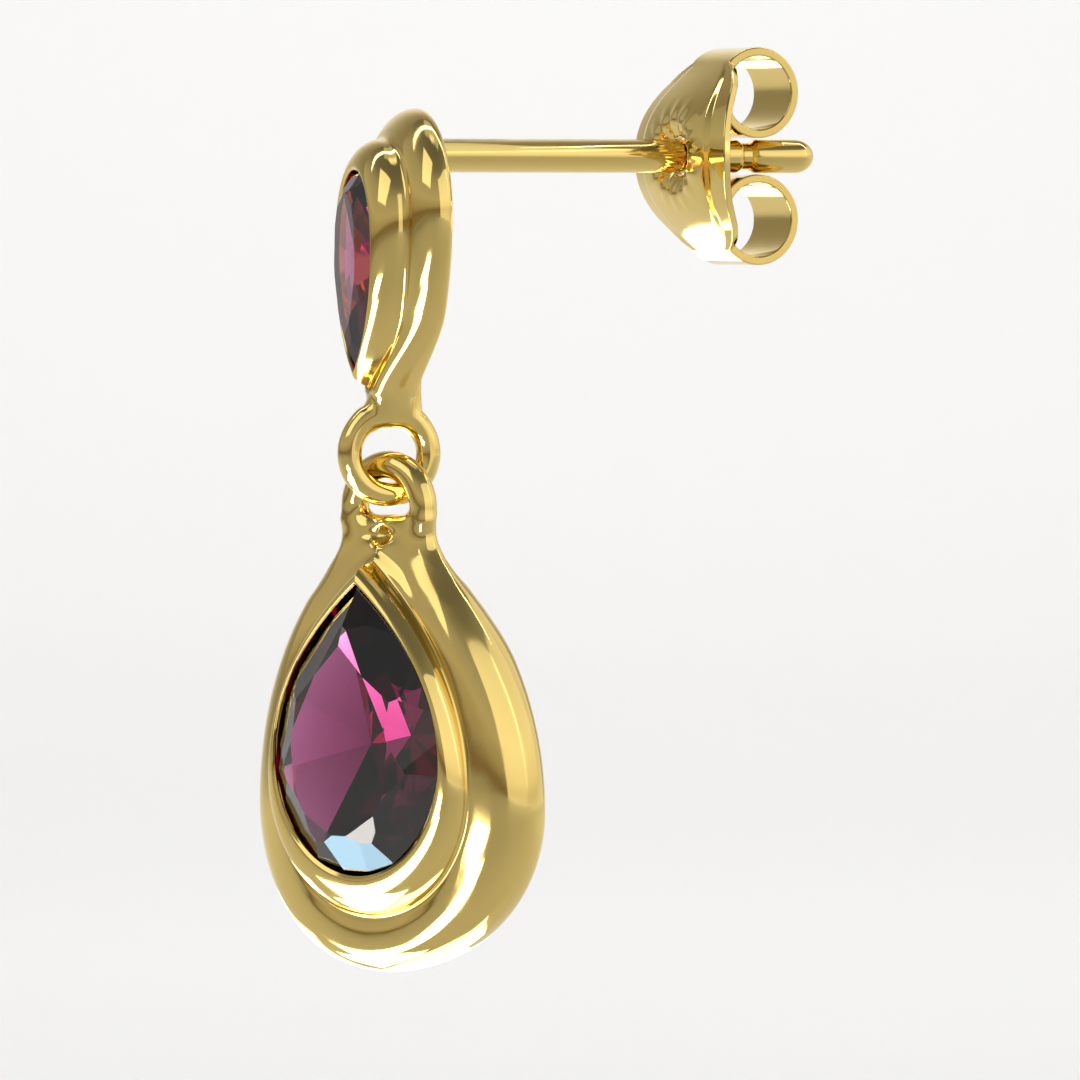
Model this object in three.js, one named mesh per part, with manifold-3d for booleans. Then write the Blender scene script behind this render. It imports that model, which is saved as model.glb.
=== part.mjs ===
// Drop earring: a pear-cut stone in a rolled stud setting, with a larger pear-cut drop that
// hangs from a fixed ring by its bail, and a butterfly back on the post.
// Millimetres. +Z is up, the stones face -Y and the post runs along +Y. The origin is on the
// post's axis, where the post leaves the flat back of the stud setting.
import * as THREE from "three";
import { mergeVertices } from "three/addons/utils/BufferGeometryUtils.js";
import Module from "manifold-3d";

// Stones
const DROP_STONE_LENGTH = 7.0;
const DROP_STONE_WIDTH = 5.0;
const DROP_STONE_CROWN = 0.82;
const DROP_STONE_PAVILION = 1.9;
const STUD_STONE_LENGTH = 4.9;
const STUD_STONE_WIDTH = 2.9;
const STUD_STONE_CROWN = 0.42;
const STUD_STONE_PAVILION = 1.2;
const GIRDLE = 0.08;
const GIRDLE_BELOW_LIP = 0.22;
const TABLE_INSET_SHARE = 0.21;
const LIP_COVER = 0.07;
const STONE_CLEARANCE = 0.05;
const SEAT_LEDGE = 0.45;
const SEAT_LEDGE_TIP = 0.9;
const SEAT_SLACK = 1.25;
const LIP_OVER_GIRDLE = 0.15;

// Facets, as shares: where the stone's middle lies, how far out and down the star facets meet,
// and how far out and down the pavilion's mains meet
const STONE_MIDDLE_SHARE = 0.25;
const STAR_OUT_SHARE = 0.48;
const STAR_DOWN_SHARE = 0.45;
const PAVILION_OUT_SHARE = 0.42;
const PAVILION_DOWN_SHARE = 0.62;

// Drop setting, measured outwards from the lip's opening
const DROP_DEPTH = 2.45;
const DROP_BEZEL_SIDE = 0.42;
const DROP_BEZEL_FOOT = 0.97;
const DROP_BEZEL_TIP = 0.5;
const DROP_RIM_SIDE = 1.15;
const DROP_RIM_FOOT = 1.35;
const DROP_RIM_TIP = 1.12;
const DROP_RIM_ADVANCE = 0.6;
const DROP_NECK_WIDTH = 2.6;
const DROP_NECK_THICKNESS = 0.8;

// Stud setting, measured outwards from the lip's opening
const STUD_DEPTH = 1.74;
const STUD_BEZEL_SIDE = 0.48;
const STUD_BEZEL_FOOT = 0.74;
const STUD_BEZEL_TIP = 0.4;
const STUD_RIM_SIDE = 0.66;
const STUD_RIM_FOOT = 0.72;
const STUD_RIM_TIP = 0.52;
const STUD_RIM_ADVANCE = -0.1;
const STUD_NECK_WIDTH = 0.95;
const STUD_NECK_THICKNESS = 1.05;
const STUD_NECK_BEHIND_LIP = 0.9;

// Post, above which the stud's round end rises
const POST_DIAMETER = 0.8;
const POST_LENGTH = 9.75;
const POST_ROOT = 0.3;
const POST_BELOW_TOP = 1.12;
const POST_DOME_SHARE = 0.8;
const NOTCH_DEPTH = 0.09;
const NOTCH_WIDTH = 0.5;

// Fixed ring and bail
const RING_RADIUS = 0.97;
const RING_WIRE = 0.58;
const RING_SINK = 0.26;
const BAIL_WIRE = 0.68;
const BAIL_SPAN = 2.0;
const BAIL_SINK = 0.35;
const LINK_CLEARANCE = 0.07;
const RING_TO_DROP = 0.17;
const BAIL_BEHIND_LIP = 1.34;
const DROP_YAW = THREE.MathUtils.degToRad(35);

// Butterfly back
const SHEET = 0.2;
const BACK_FROM_STUD = 6.2;
const BACK_YAW = THREE.MathUtils.degToRad(10);
const PLATE_HALF_WIDTH = 2.2;
const CURL_HALF_WIDTH = 0.92;
const CURL_RADIUS = 0.98;
const CURL_BEHIND_PLATE = 1.86;
const CURL_START = THREE.MathUtils.degToRad(138);
const CURL_TURN = THREE.MathUtils.degToRad(308);
const GRIP_CLEARANCE = 0.05;
const HOLE_CLEARANCE = 0.08;
const PLATE_FULLNESS = 0.75;
const PLATE_RISE_SHARE = 0.5;
const PLATE_TURN_SHARE = 0.42;
const PLATE_DISH = 0.22;
const DIMPLE_DEPTH = 0.4;
const DIMPLE_RADIUS = 1.0;

// Steps along the outlines and the wires
const SIDE_STEPS = 18;
const HEAD_STEPS = 13;
const WIRE_SIDES = 12;
const RING_STEPS = 30;
const BAIL_STEPS = 26;
const BAIL_LEG_STEPS = 4;
const BAIL_ARCH_STEPS = 16;
const POST_SIDES = 16;
const POST_DOME_STEPS = 4;
const STONE_SIDE_STEPS = 8;
const STONE_HEAD_STEPS = 8;
const STONE_MAINS = 8;
const PLATE_STEPS = 9;
const CURL_STEPS = 18;
const ACROSS_STEPS = 8;

// Shape of a pear outline: how round the head is, and half the angle at its tip
const PEAR_HEAD_SHARE = 0.405;
const PEAR_TIP_ANGLE = THREE.MathUtils.degToRad(51);
const PEAR_SIDE_SHARE = 0.1;
const GROOVE_HEAD_ROUNDNESS = 1.04;
const RIM_HEAD_ROUNDNESS = 0.95;
const NECK_DOME_SHARE = 0.35;
const NECK_HANDLE_SHARE = 0.1;
const FLANK_HANDLE_SHARE = 0.57;

// Where a frame's section closes into its neck: across the section and up towards the tip
const NECK_FROM_ACROSS = 0.8;
const NECK_FULL_ACROSS = 1.3;
const NECK_FROM_REACH = 0.5;
const NECK_FULL_REACH = 0.96;

// Frame profiles from the lip to the back. across: 0 at the opening, 1 at the groove, 2 at the
// rim. depth: share of the frame's depth. ends: how far the section follows the rim where it
// comes forward at the tip and the round end. neck: its place in the neck, 0 front to 1 back.
const DROP_PROFILE = [
  { across: 0, depth: 0.02, ends: 0, neck: 0 },
  { across: 0.12, depth: 0, ends: 0, neck: 0 },
  { across: 0.36, depth: 0.015, ends: 0, neck: 0 },
  { across: 0.62, depth: 0.055, ends: 0, neck: 0 },
  { across: 0.84, depth: 0.125, ends: 0, neck: 0 },
  { across: 0.96, depth: 0.2, ends: 0, neck: 0 },
  { across: 1.03, depth: 0.262, ends: 0.1, neck: 0 },
  { across: 1.12, depth: 0.272, ends: 0.3, neck: 0 },
  { across: 1.28, depth: 0.3, ends: 0.6, neck: 0 },
  { across: 1.5, depth: 0.35, ends: 0.8, neck: 0.02 },
  { across: 1.7, depth: 0.42, ends: 0.95, neck: 0.08 },
  { across: 1.86, depth: 0.51, ends: 1, neck: 0.2 },
  { across: 1.96, depth: 0.62, ends: 1, neck: 0.36 },
  { across: 2, depth: 0.74, ends: 1, neck: 0.55 },
  { across: 1.98, depth: 0.84, ends: 0.8, neck: 0.74 },
  { across: 1.9, depth: 0.94, ends: 0.4, neck: 0.9 },
  { across: 1.72, depth: 1, ends: 0, neck: 1 },
];
const STUD_PROFILE = [
  { across: 0, depth: 0.02, ends: 0, neck: 0 },
  { across: 0.12, depth: 0, ends: 0, neck: 0 },
  { across: 0.36, depth: 0.03, ends: 0, neck: 0 },
  { across: 0.6, depth: 0.095, ends: 0, neck: 0 },
  { across: 0.8, depth: 0.185, ends: 0, neck: 0 },
  { across: 0.94, depth: 0.3, ends: 0, neck: 0 },
  { across: 1, depth: 0.42, ends: 0, neck: 0 },
  { across: 1.1, depth: 0.46, ends: 0.1, neck: 0 },
  { across: 1.3, depth: 0.49, ends: 0.3, neck: 0 },
  { across: 1.52, depth: 0.54, ends: 0.5, neck: 0.03 },
  { across: 1.74, depth: 0.61, ends: 0.7, neck: 0.12 },
  { across: 1.9, depth: 0.69, ends: 0.9, neck: 0.28 },
  { across: 1.98, depth: 0.77, ends: 1, neck: 0.45 },
  { across: 2, depth: 0.84, ends: 0.8, neck: 0.6 },
  { across: 1.97, depth: 0.91, ends: 0.5, neck: 0.76 },
  { across: 1.88, depth: 0.97, ends: 0.2, neck: 0.9 },
  { across: 1.74, depth: 1, ends: 0, neck: 1 },
];

const GOLD = new THREE.MeshStandardMaterial({ color: 0xd8b24a, roughness: 0.16, metalness: 1 });
const STONE_RED = new THREE.MeshStandardMaterial({
  color: 0x6a1240,
  roughness: 0.05,
  metalness: 0,
});

const wasm = await Module();
wasm.setup();

// Turns a three.js geometry into a solid that can be joined or cut.
function solid(geometry) {
  const bare = geometry.clone();
  bare.deleteAttribute("normal");
  bare.deleteAttribute("uv");
  const merged = mergeVertices(bare, 1e-5);
  return new wasm.Manifold(
    new wasm.Mesh({
      numProp: 3,
      vertProperties: new Float32Array(merged.attributes.position.array),
      triVerts: new Uint32Array(merged.index.array),
    }),
  );
}

// Turns a solid back into a geometry.
function geometryOf(manifold) {
  const mesh = manifold.getMesh();
  const geometry = new THREE.BufferGeometry();
  geometry.setAttribute("position", new THREE.BufferAttribute(mesh.vertProperties, 3));
  geometry.setIndex(new THREE.BufferAttribute(mesh.triVerts, 1));
  geometry.computeVertexNormals();
  return geometry;
}

function mix(a, b, share) {
  return a + (b - a) * share;
}

// Smooth step from 0 at low to 1 at high.
function ease(value, low, high) {
  return THREE.MathUtils.smoothstep(value, low, high);
}

// Points of one half outline, from the tip down the side and round the head to the foot,
// closed by its mirror image. side is a curve from the tip to the widest point.
function closedOutline(side, halfWidth, headHeight, widestZ, sideSteps, headSteps) {
  const half = side.getSpacedPoints(sideSteps);
  for (let i = 1; i <= headSteps; i++) {
    const angle = (i / headSteps) * (Math.PI / 2);
    half.push(
      new THREE.Vector2(halfWidth * Math.cos(angle), widestZ - headHeight * Math.sin(angle)),
    );
  }
  const mirrored = half
    .slice(1, -1)
    .reverse()
    .map((p) => new THREE.Vector2(-p.x, p.y));
  return [...half, ...mirrored];
}

// Pear outline, tip up, from its tip and foot heights and its half width.
function pearOutline(tip, foot, halfWidth, headHeight, sideSteps, headSteps) {
  const widestZ = foot + headHeight;
  const handle = Math.max(
    tip - halfWidth / Math.tan(PEAR_TIP_ANGLE),
    mix(widestZ, tip, PEAR_SIDE_SHARE),
  );
  const side = new THREE.QuadraticBezierCurve(
    new THREE.Vector2(0, tip),
    new THREE.Vector2(halfWidth, handle),
    new THREE.Vector2(halfWidth, widestZ),
  );
  return closedOutline(side, halfWidth, headHeight, widestZ, sideSteps, headSteps);
}

// Outline of the outer rim: a round head whose flanks sweep up into a domed neck.
function rimOutline(top, foot, halfWidth, headHeight, neckHalfWidth, sideSteps, headSteps) {
  const widestZ = foot + headHeight;
  const flank = top - widestZ;
  const side = new THREE.CurvePath();
  const shoulderZ = top - neckHalfWidth * NECK_DOME_SHARE;
  side.add(
    new THREE.QuadraticBezierCurve(
      new THREE.Vector2(0, top),
      new THREE.Vector2(neckHalfWidth, top),
      new THREE.Vector2(neckHalfWidth, shoulderZ),
    ),
  );
  side.add(
    new THREE.CubicBezierCurve(
      new THREE.Vector2(neckHalfWidth, shoulderZ),
      new THREE.Vector2(neckHalfWidth, shoulderZ - flank * NECK_HANDLE_SHARE),
      new THREE.Vector2(halfWidth, widestZ + flank * FLANK_HANDLE_SHARE),
      new THREE.Vector2(halfWidth, widestZ),
    ),
  );
  return closedOutline(side, halfWidth, headHeight, widestZ, sideSteps, headSteps);
}

// Closed solid through rings of equally many points. A looped solid joins its last ring to its
// first, as a frame does; any other gets a flat fan at each end.
function loft(rings, looped) {
  const count = rings[0].length;
  const positions = rings.flat().flatMap((p) => [p.x, p.y, p.z]);
  const index = [];
  const bands = looped ? rings.length : rings.length - 1;
  for (let j = 0; j < bands; j++) {
    for (let i = 0; i < count; i++) {
      const a = j * count + i;
      const b = j * count + ((i + 1) % count);
      const c = ((j + 1) % rings.length) * count + i;
      const d = ((j + 1) % rings.length) * count + ((i + 1) % count);
      index.push(a, b, c, b, d, c);
    }
  }
  if (!looped) {
    const last = (rings.length - 1) * count;
    for (let i = 1; i < count - 1; i++) {
      index.push(0, i + 1, i);
      index.push(last, last + i, last + i + 1);
    }
  }
  const geometry = new THREE.BufferGeometry();
  geometry.setAttribute("position", new THREE.Float32BufferAttribute(positions, 3));
  geometry.setIndex(index);
  return geometry;
}

// Heights and half widths of one setting's outlines, tip up, from its stone outwards.
// The stone's widest point is at height 0.
function settingSizes(s) {
  const head = s.stoneLength * PEAR_HEAD_SHARE;
  const stone = {
    tip: s.stoneLength - head,
    foot: -head,
    halfWidth: s.stoneWidth / 2,
    head,
  };
  const opening = {
    tip: stone.tip - LIP_COVER,
    foot: stone.foot + LIP_COVER,
    halfWidth: stone.halfWidth - LIP_COVER,
    head: head - LIP_COVER,
  };
  const grooveHalfWidth = opening.halfWidth + s.bezelSide;
  const groove = {
    tip: opening.tip + s.bezelTip,
    foot: opening.foot - s.bezelFoot,
    halfWidth: grooveHalfWidth,
    head: grooveHalfWidth * GROOVE_HEAD_ROUNDNESS,
  };
  const rimHalfWidth = groove.halfWidth + s.rimSide;
  const rim = {
    tip: groove.tip + s.rimTip,
    foot: groove.foot - s.rimFoot,
    halfWidth: rimHalfWidth,
    head: rimHalfWidth * RIM_HEAD_ROUNDNESS,
  };
  return { stone, opening, groove, rim };
}

function pearOf(size, steps) {
  return pearOutline(size.tip, size.foot, size.halfWidth, size.head, steps.side, steps.head);
}

// Ring-shaped frame of a setting, tip up, lip at y = 0 and flat back at y = depth.
function frameGeometry(s, sizes) {
  const steps = { side: SIDE_STEPS, head: HEAD_STEPS };
  const opening = pearOf(sizes.opening, steps);
  const groove = pearOf(sizes.groove, steps);
  const rim = rimOutline(
    sizes.rim.tip,
    sizes.rim.foot,
    sizes.rim.halfWidth,
    sizes.rim.head,
    s.neckWidth / 2,
    steps.side,
    steps.head,
  );
  const widestZ = sizes.rim.foot + sizes.rim.head;
  const neckFront = s.neckDepth - s.neckThickness / 2;
  const neckBack = s.neckDepth + s.neckThickness / 2;

  const rings = s.profile.map((row) =>
    opening.map((o, i) => {
      const share = row.across <= 1 ? row.across : row.across - 1;
      const from = row.across <= 1 ? o : groove[i];
      const to = row.across <= 1 ? groove[i] : rim[i];
      const p = new THREE.Vector2().lerpVectors(from, to, share);
      const up = p.y - widestZ;
      const reach = up > 0 ? up / (sizes.rim.tip - widestZ) : -up / sizes.rim.head;
      const advance = s.rimAdvance * row.ends * reach ** 2;
      const depth = row.depth * s.depth - advance;
      const onNeck = mix(neckFront, neckBack, row.neck);
      const outwards = ease(row.across, NECK_FROM_ACROSS, NECK_FULL_ACROSS);
      const upwards = up > 0 ? ease(reach, NECK_FROM_REACH, NECK_FULL_REACH) : 0;
      return new THREE.Vector3(p.x, mix(depth, onNeck, outwards * upwards), p.y);
    }),
  );

  // Inside: the gallery hole from the back up to the seat, then the pocket round the girdle.
  const girdleTop = GIRDLE_BELOW_LIP;
  const pocket = pearOf(
    {
      tip: sizes.stone.tip + STONE_CLEARANCE,
      foot: sizes.stone.foot - STONE_CLEARANCE,
      halfWidth: sizes.stone.halfWidth + STONE_CLEARANCE,
      head: sizes.stone.head + STONE_CLEARANCE,
    },
    steps,
  );
  const gallery = pearOf(
    {
      tip: sizes.stone.tip - SEAT_LEDGE_TIP,
      foot: sizes.stone.foot + SEAT_LEDGE,
      halfWidth: sizes.stone.halfWidth - SEAT_LEDGE,
      head: sizes.stone.head - SEAT_LEDGE,
    },
    steps,
  );
  const seat = girdleTop + GIRDLE + STONE_CLEARANCE;
  const ledgeShare = SEAT_LEDGE / sizes.stone.halfWidth;
  const seatDrop = s.pavilion * ledgeShare * SEAT_SLACK;
  const inner = [
    { outline: gallery, depth: s.depth },
    { outline: gallery, depth: seat + seatDrop },
    { outline: pocket, depth: seat },
    { outline: pocket, depth: girdleTop - STONE_CLEARANCE },
    { outline: opening, depth: girdleTop - LIP_OVER_GIRDLE },
  ];
  inner.forEach((row) => {
    rings.push(row.outline.map((p) => new THREE.Vector3(p.x, row.depth, p.y)));
  });
  return loft(rings, true);
}

// Pear-cut stone, tip up, with its girdle's top at y = girdleTop: an eight-sided table, star
// facets, kite-shaped mains and girdle facets on the crown, and mains on the pavilion.
function stoneGeometry(s, sizes) {
  const steps = { side: STONE_SIDE_STEPS, head: STONE_HEAD_STEPS };
  const outline = pearOf(sizes.stone, steps);
  const inset = s.stoneWidth * TABLE_INSET_SHARE;
  const tableLine = pearOf(
    {
      tip: sizes.stone.tip - inset,
      foot: sizes.stone.foot + inset,
      halfWidth: sizes.stone.halfWidth - inset,
      head: sizes.stone.head - inset,
    },
    steps,
  );
  const count = outline.length;
  const stride = count / STONE_MAINS;
  const middle = new THREE.Vector2(0, (sizes.stone.tip + sizes.stone.foot) * STONE_MIDDLE_SHARE);
  const girdleTop = GIRDLE_BELOW_LIP;
  const tableDepth = girdleTop - s.crown;
  const starDepth = tableDepth + s.crown * STAR_DOWN_SHARE;
  const mainDepth = girdleTop + GIRDLE + s.pavilion * PAVILION_DOWN_SHARE;
  const positions = [];
  const index = [];
  const add = (p, share, depth) => {
    positions.push(mix(middle.x, p.x, share), depth, mix(middle.y, p.y, share));
    return positions.length / 3 - 1;
  };
  const between = (i, share) => tableLine[i].clone().lerp(outline[i], share);
  const top = outline.map((p) => add(p, 1, girdleTop));
  const bottom = outline.map((p) => add(p, 1, girdleTop + GIRDLE));
  const table = [];
  const crown = [];
  const pavilion = [];
  for (let k = 0; k < STONE_MAINS; k++) {
    const main = k * stride;
    const half = main + stride / 2;
    table.push(add(between(main, 0), 1, tableDepth));
    crown.push(add(between(half, STAR_OUT_SHARE), 1, starDepth));
    pavilion.push(add(outline[half], PAVILION_OUT_SHARE, mainDepth));
  }
  const culet = add(middle, 0, girdleTop + GIRDLE + s.pavilion);
  for (let k = 0; k < STONE_MAINS; k++) {
    const next = (k + 1) % STONE_MAINS;
    const before = (k + STONE_MAINS - 1) % STONE_MAINS;
    const main = k * stride;
    if (k > 0 && k < STONE_MAINS - 1) index.push(table[0], table[next], table[k]);
    index.push(table[k], table[next], crown[k]);
    index.push(table[k], top[main], crown[before], table[k], crown[k], top[main]);
    index.push(culet, pavilion[before], bottom[main], culet, bottom[main], pavilion[k]);
    for (let i = 0; i < stride; i++) {
      const a = main + i;
      const b = (a + 1) % count;
      index.push(crown[k], top[b], top[a]);
      index.push(pavilion[k], bottom[a], bottom[b]);
      index.push(top[a], top[b], bottom[a], top[b], bottom[b], bottom[a]);
    }
  }
  const geometry = new THREE.BufferGeometry();
  geometry.setAttribute("position", new THREE.Float32BufferAttribute(positions, 3));
  geometry.setIndex(index);
  return geometry;
}

// Round wire along a path, as a closed extrusion.
function wireGeometry(path, diameter, steps) {
  const section = new THREE.Shape(
    new THREE.Path().absarc(0, 0, diameter / 2, 0, 2 * Math.PI).getSpacedPoints(WIRE_SIDES),
  );
  return new THREE.ExtrudeGeometry(section, { extrudePath: path, steps });
}

// Arch of the bail: up one leg, over the top and down the other, in the drop's own plane.
function bailPath(archZ, footZ) {
  const half = BAIL_SPAN / 2;
  const points = [];
  for (let i = 0; i < BAIL_LEG_STEPS; i++) {
    points.push(new THREE.Vector3(-half, 0, mix(footZ, archZ, i / BAIL_LEG_STEPS)));
  }
  for (let i = 0; i <= BAIL_ARCH_STEPS; i++) {
    const angle = Math.PI * (1 - i / BAIL_ARCH_STEPS);
    points.push(new THREE.Vector3(half * Math.cos(angle), 0, archZ + half * Math.sin(angle)));
  }
  for (let i = BAIL_LEG_STEPS - 1; i >= 0; i--) {
    points.push(new THREE.Vector3(half, 0, mix(footZ, archZ, i / BAIL_LEG_STEPS)));
  }
  return new THREE.CatmullRomCurve3(points);
}

// Straight post along +Y with a shallow notch for the back and a rounded end.
function postGeometry(notchY) {
  const radius = POST_DIAMETER / 2;
  const low = radius - NOTCH_DEPTH;
  const dome = radius * POST_DOME_SHARE;
  const profile = [
    new THREE.Vector2(0, -POST_ROOT),
    new THREE.Vector2(radius, -POST_ROOT),
    new THREE.Vector2(radius, notchY - NOTCH_WIDTH / 2),
    new THREE.Vector2(low, notchY - NOTCH_WIDTH / 4),
    new THREE.Vector2(low, notchY + NOTCH_WIDTH / 4),
    new THREE.Vector2(radius, notchY + NOTCH_WIDTH / 2),
    new THREE.Vector2(radius, POST_LENGTH - dome),
  ];
  for (let i = 1; i <= POST_DOME_STEPS; i++) {
    const angle = (i / POST_DOME_STEPS) * (Math.PI / 2);
    profile.push(
      new THREE.Vector2(
        i === POST_DOME_STEPS ? 0 : radius * Math.cos(angle),
        POST_LENGTH - dome * (1 - Math.sin(angle)),
      ),
    );
  }
  return new THREE.LatheGeometry(profile, POST_SIDES);
}

// Middle line of the butterfly's upper half in its own plane, from the post hole out to the
// end of the curl: y is the way back along the post and z the height above it.
function sheetLine() {
  const curlZ = POST_DIAMETER / 2 + GRIP_CLEARANCE + SHEET / 2 + CURL_RADIUS;
  const joint = new THREE.Vector2(
    CURL_BEHIND_PLATE + CURL_RADIUS * Math.cos(CURL_START),
    curlZ + CURL_RADIUS * Math.sin(CURL_START),
  );
  const heading = new THREE.Vector2(Math.sin(CURL_START), -Math.cos(CURL_START));
  const plate = new THREE.CubicBezierCurve(
    new THREE.Vector2(0, 0),
    new THREE.Vector2(0, joint.y * PLATE_RISE_SHARE),
    joint.clone().addScaledVector(heading, -joint.y * PLATE_TURN_SHARE),
    joint,
  );
  const points = plate.getPoints(PLATE_STEPS);
  for (let i = 1; i <= CURL_STEPS; i++) {
    const angle = CURL_START - (i / CURL_STEPS) * CURL_TURN;
    points.push(
      new THREE.Vector2(
        CURL_BEHIND_PLATE + CURL_RADIUS * Math.cos(angle),
        curlZ + CURL_RADIUS * Math.sin(angle),
      ),
    );
  }
  return points;
}

// Stamped sheet of the butterfly back: both halves in one strip, with the post hole cut out.
function backGeometry() {
  const upper = sheetLine();
  const line = [
    ...upper
      .slice(1)
      .reverse()
      .map((p) => new THREE.Vector2(p.x, -p.y)),
    ...upper,
  ];
  const plateEnd = upper[PLATE_STEPS].y;
  const rings = line.map((p, i) => {
    const before = line[Math.max(i - 1, 0)];
    const after = line[Math.min(i + 1, line.length - 1)];
    const along = new THREE.Vector2().subVectors(after, before).normalize();
    const normal = new THREE.Vector2(-along.y, along.x);
    const fromHole = Math.abs(i - (upper.length - 1)) / PLATE_STEPS;
    const onPlate = Math.min(fromHole, 1);
    const height = Math.min(Math.abs(p.y) / plateEnd, 1);
    const halfWidth = mix(
      CURL_HALF_WIDTH,
      PLATE_HALF_WIDTH,
      fromHole < 1 ? (1 - height ** 2) ** PLATE_FULLNESS : 0,
    );
    const front = [];
    const back = [];
    for (let j = 0; j <= ACROSS_STEPS; j++) {
      const across = (2 * j) / ACROSS_STEPS - 1;
      const dish = PLATE_DISH * across ** 2 * (1 - onPlate ** 2);
      const x = across * halfWidth;
      const fromPost = Math.hypot(x, fromHole < 1 ? p.y : DIMPLE_RADIUS);
      const dimple = DIMPLE_DEPTH * (1 - ease(fromPost, POST_DIAMETER / 4, DIMPLE_RADIUS));
      const lift = (side) =>
        new THREE.Vector3(
          x,
          p.x + dish + dimple + (normal.x * side * SHEET) / 2,
          p.y + (normal.y * side * SHEET) / 2,
        );
      front.push(lift(1));
      back.push(lift(-1));
    }
    return [...front, ...back.reverse()];
  });
  const hole = new THREE.CylinderGeometry(
    POST_DIAMETER / 2 + HOLE_CLEARANCE,
    POST_DIAMETER / 2 + HOLE_CLEARANCE,
    2 * (DIMPLE_DEPTH + 2 * SHEET),
    POST_SIDES,
  );
  return geometryOf(solid(stripGeometry(rings)).subtract(solid(hole)));
}

// Closed solid through flat rings whose second half runs back over the first.
function stripGeometry(rings) {
  const count = rings[0].length;
  const last = (rings.length - 1) * count;
  const geometry = loft(rings, true);
  const index = Array.from(geometry.index.array).slice(0, 6 * last);
  for (let i = 0; i < count / 2 - 1; i++) {
    const a = i;
    const b = i + 1;
    const c = count - 2 - i;
    const d = count - 1 - i;
    index.push(a, c, b, a, d, c);
    index.push(last + a, last + b, last + c, last + a, last + c, last + d);
  }
  geometry.setIndex(index);
  return geometry;
}

function namedMesh(name, geometry, material) {
  const mesh = new THREE.Mesh(geometry, material.clone());
  mesh.name = name;
  return mesh;
}

const stud = {
  stoneLength: STUD_STONE_LENGTH,
  stoneWidth: STUD_STONE_WIDTH,
  crown: STUD_STONE_CROWN,
  pavilion: STUD_STONE_PAVILION,
  depth: STUD_DEPTH,
  bezelSide: STUD_BEZEL_SIDE,
  bezelFoot: STUD_BEZEL_FOOT,
  bezelTip: STUD_BEZEL_TIP,
  rimSide: STUD_RIM_SIDE,
  rimFoot: STUD_RIM_FOOT,
  rimTip: STUD_RIM_TIP,
  rimAdvance: STUD_RIM_ADVANCE,
  neckWidth: STUD_NECK_WIDTH,
  neckThickness: STUD_NECK_THICKNESS,
  neckDepth: STUD_NECK_BEHIND_LIP,
  profile: STUD_PROFILE,
};

const drop = {
  stoneLength: DROP_STONE_LENGTH,
  stoneWidth: DROP_STONE_WIDTH,
  crown: DROP_STONE_CROWN,
  pavilion: DROP_STONE_PAVILION,
  depth: DROP_DEPTH,
  bezelSide: DROP_BEZEL_SIDE,
  bezelFoot: DROP_BEZEL_FOOT,
  bezelTip: DROP_BEZEL_TIP,
  rimSide: DROP_RIM_SIDE,
  rimFoot: DROP_RIM_FOOT,
  rimTip: DROP_RIM_TIP,
  rimAdvance: DROP_RIM_ADVANCE,
  neckWidth: DROP_NECK_WIDTH,
  neckThickness: DROP_NECK_THICKNESS,
  neckDepth: BAIL_BEHIND_LIP,
  profile: DROP_PROFILE,
};

// Stud: built tip up and then turned round, so that its round end is on top.
const studSizes = settingSizes(stud);
const studTop = POST_BELOW_TOP;
const studCentreZ = studTop + studSizes.rim.foot;
const studTipZ = studCentreZ - studSizes.rim.tip;
const ringZ = studTipZ + RING_SINK - RING_RADIUS - RING_WIRE / 2;
const ringY = stud.neckDepth - STUD_DEPTH;
const curlY = BACK_FROM_STUD + CURL_BEHIND_PLATE * Math.cos(BACK_YAW);

function placeStud(geometry) {
  return geometry
    .clone()
    .rotateY(Math.PI)
    .translate(0, -STUD_DEPTH, studCentreZ);
}

const ring = new THREE.TorusGeometry(RING_RADIUS, RING_WIRE / 2, WIRE_SIDES, RING_STEPS)
  .rotateY(Math.PI / 2)
  .translate(0, ringY, ringZ);
const studSetting = solid(placeStud(frameGeometry(stud, studSizes)))
  .add(solid(ring))
  .add(solid(postGeometry(curlY)));

// Drop: built below the top of its bail's wire, then turned about +Z.
const dropSizes = settingSizes(drop);
const hingeZ = ringZ - RING_RADIUS + RING_WIRE / 2 + LINK_CLEARANCE + BAIL_WIRE / 2;
const dropTopZ = ringZ - RING_RADIUS - RING_WIRE / 2 - RING_TO_DROP;
const dropShift = dropTopZ - dropSizes.rim.tip - hingeZ;

function placeDrop(geometry) {
  return geometry.clone().translate(0, -BAIL_BEHIND_LIP, dropShift);
}

const bail = wireGeometry(
  bailPath(-BAIL_SPAN / 2, dropTopZ - hingeZ - BAIL_SINK),
  BAIL_WIRE,
  BAIL_STEPS,
);
const dropSetting = solid(placeDrop(frameGeometry(drop, dropSizes))).add(solid(bail));

const earring = new THREE.Group();
earring.add(namedMesh("stud_setting", geometryOf(studSetting), GOLD));
earring.add(namedMesh("stud_stone", placeStud(stoneGeometry(stud, studSizes)), STONE_RED));

const hanging = new THREE.Group();
hanging.position.set(0, ringY, hingeZ);
hanging.rotation.z = DROP_YAW;
hanging.add(namedMesh("drop_setting", geometryOf(dropSetting), GOLD));
hanging.add(namedMesh("drop_stone", placeDrop(stoneGeometry(drop, dropSizes)), STONE_RED));
earring.add(hanging);

const back = namedMesh("butterfly_back", backGeometry(), GOLD);
back.position.y = BACK_FROM_STUD;
back.rotation.z = BACK_YAW;
earring.add(back);

export default earring;
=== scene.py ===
"""Drop earring: polished gold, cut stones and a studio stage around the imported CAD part."""

import math

import bmesh
import bpy
import numpy as np
from bpy.props import FloatProperty, IntProperty, PointerProperty
from mathutils import Matrix, Vector
from mathutils.kdtree import KDTree


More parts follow.
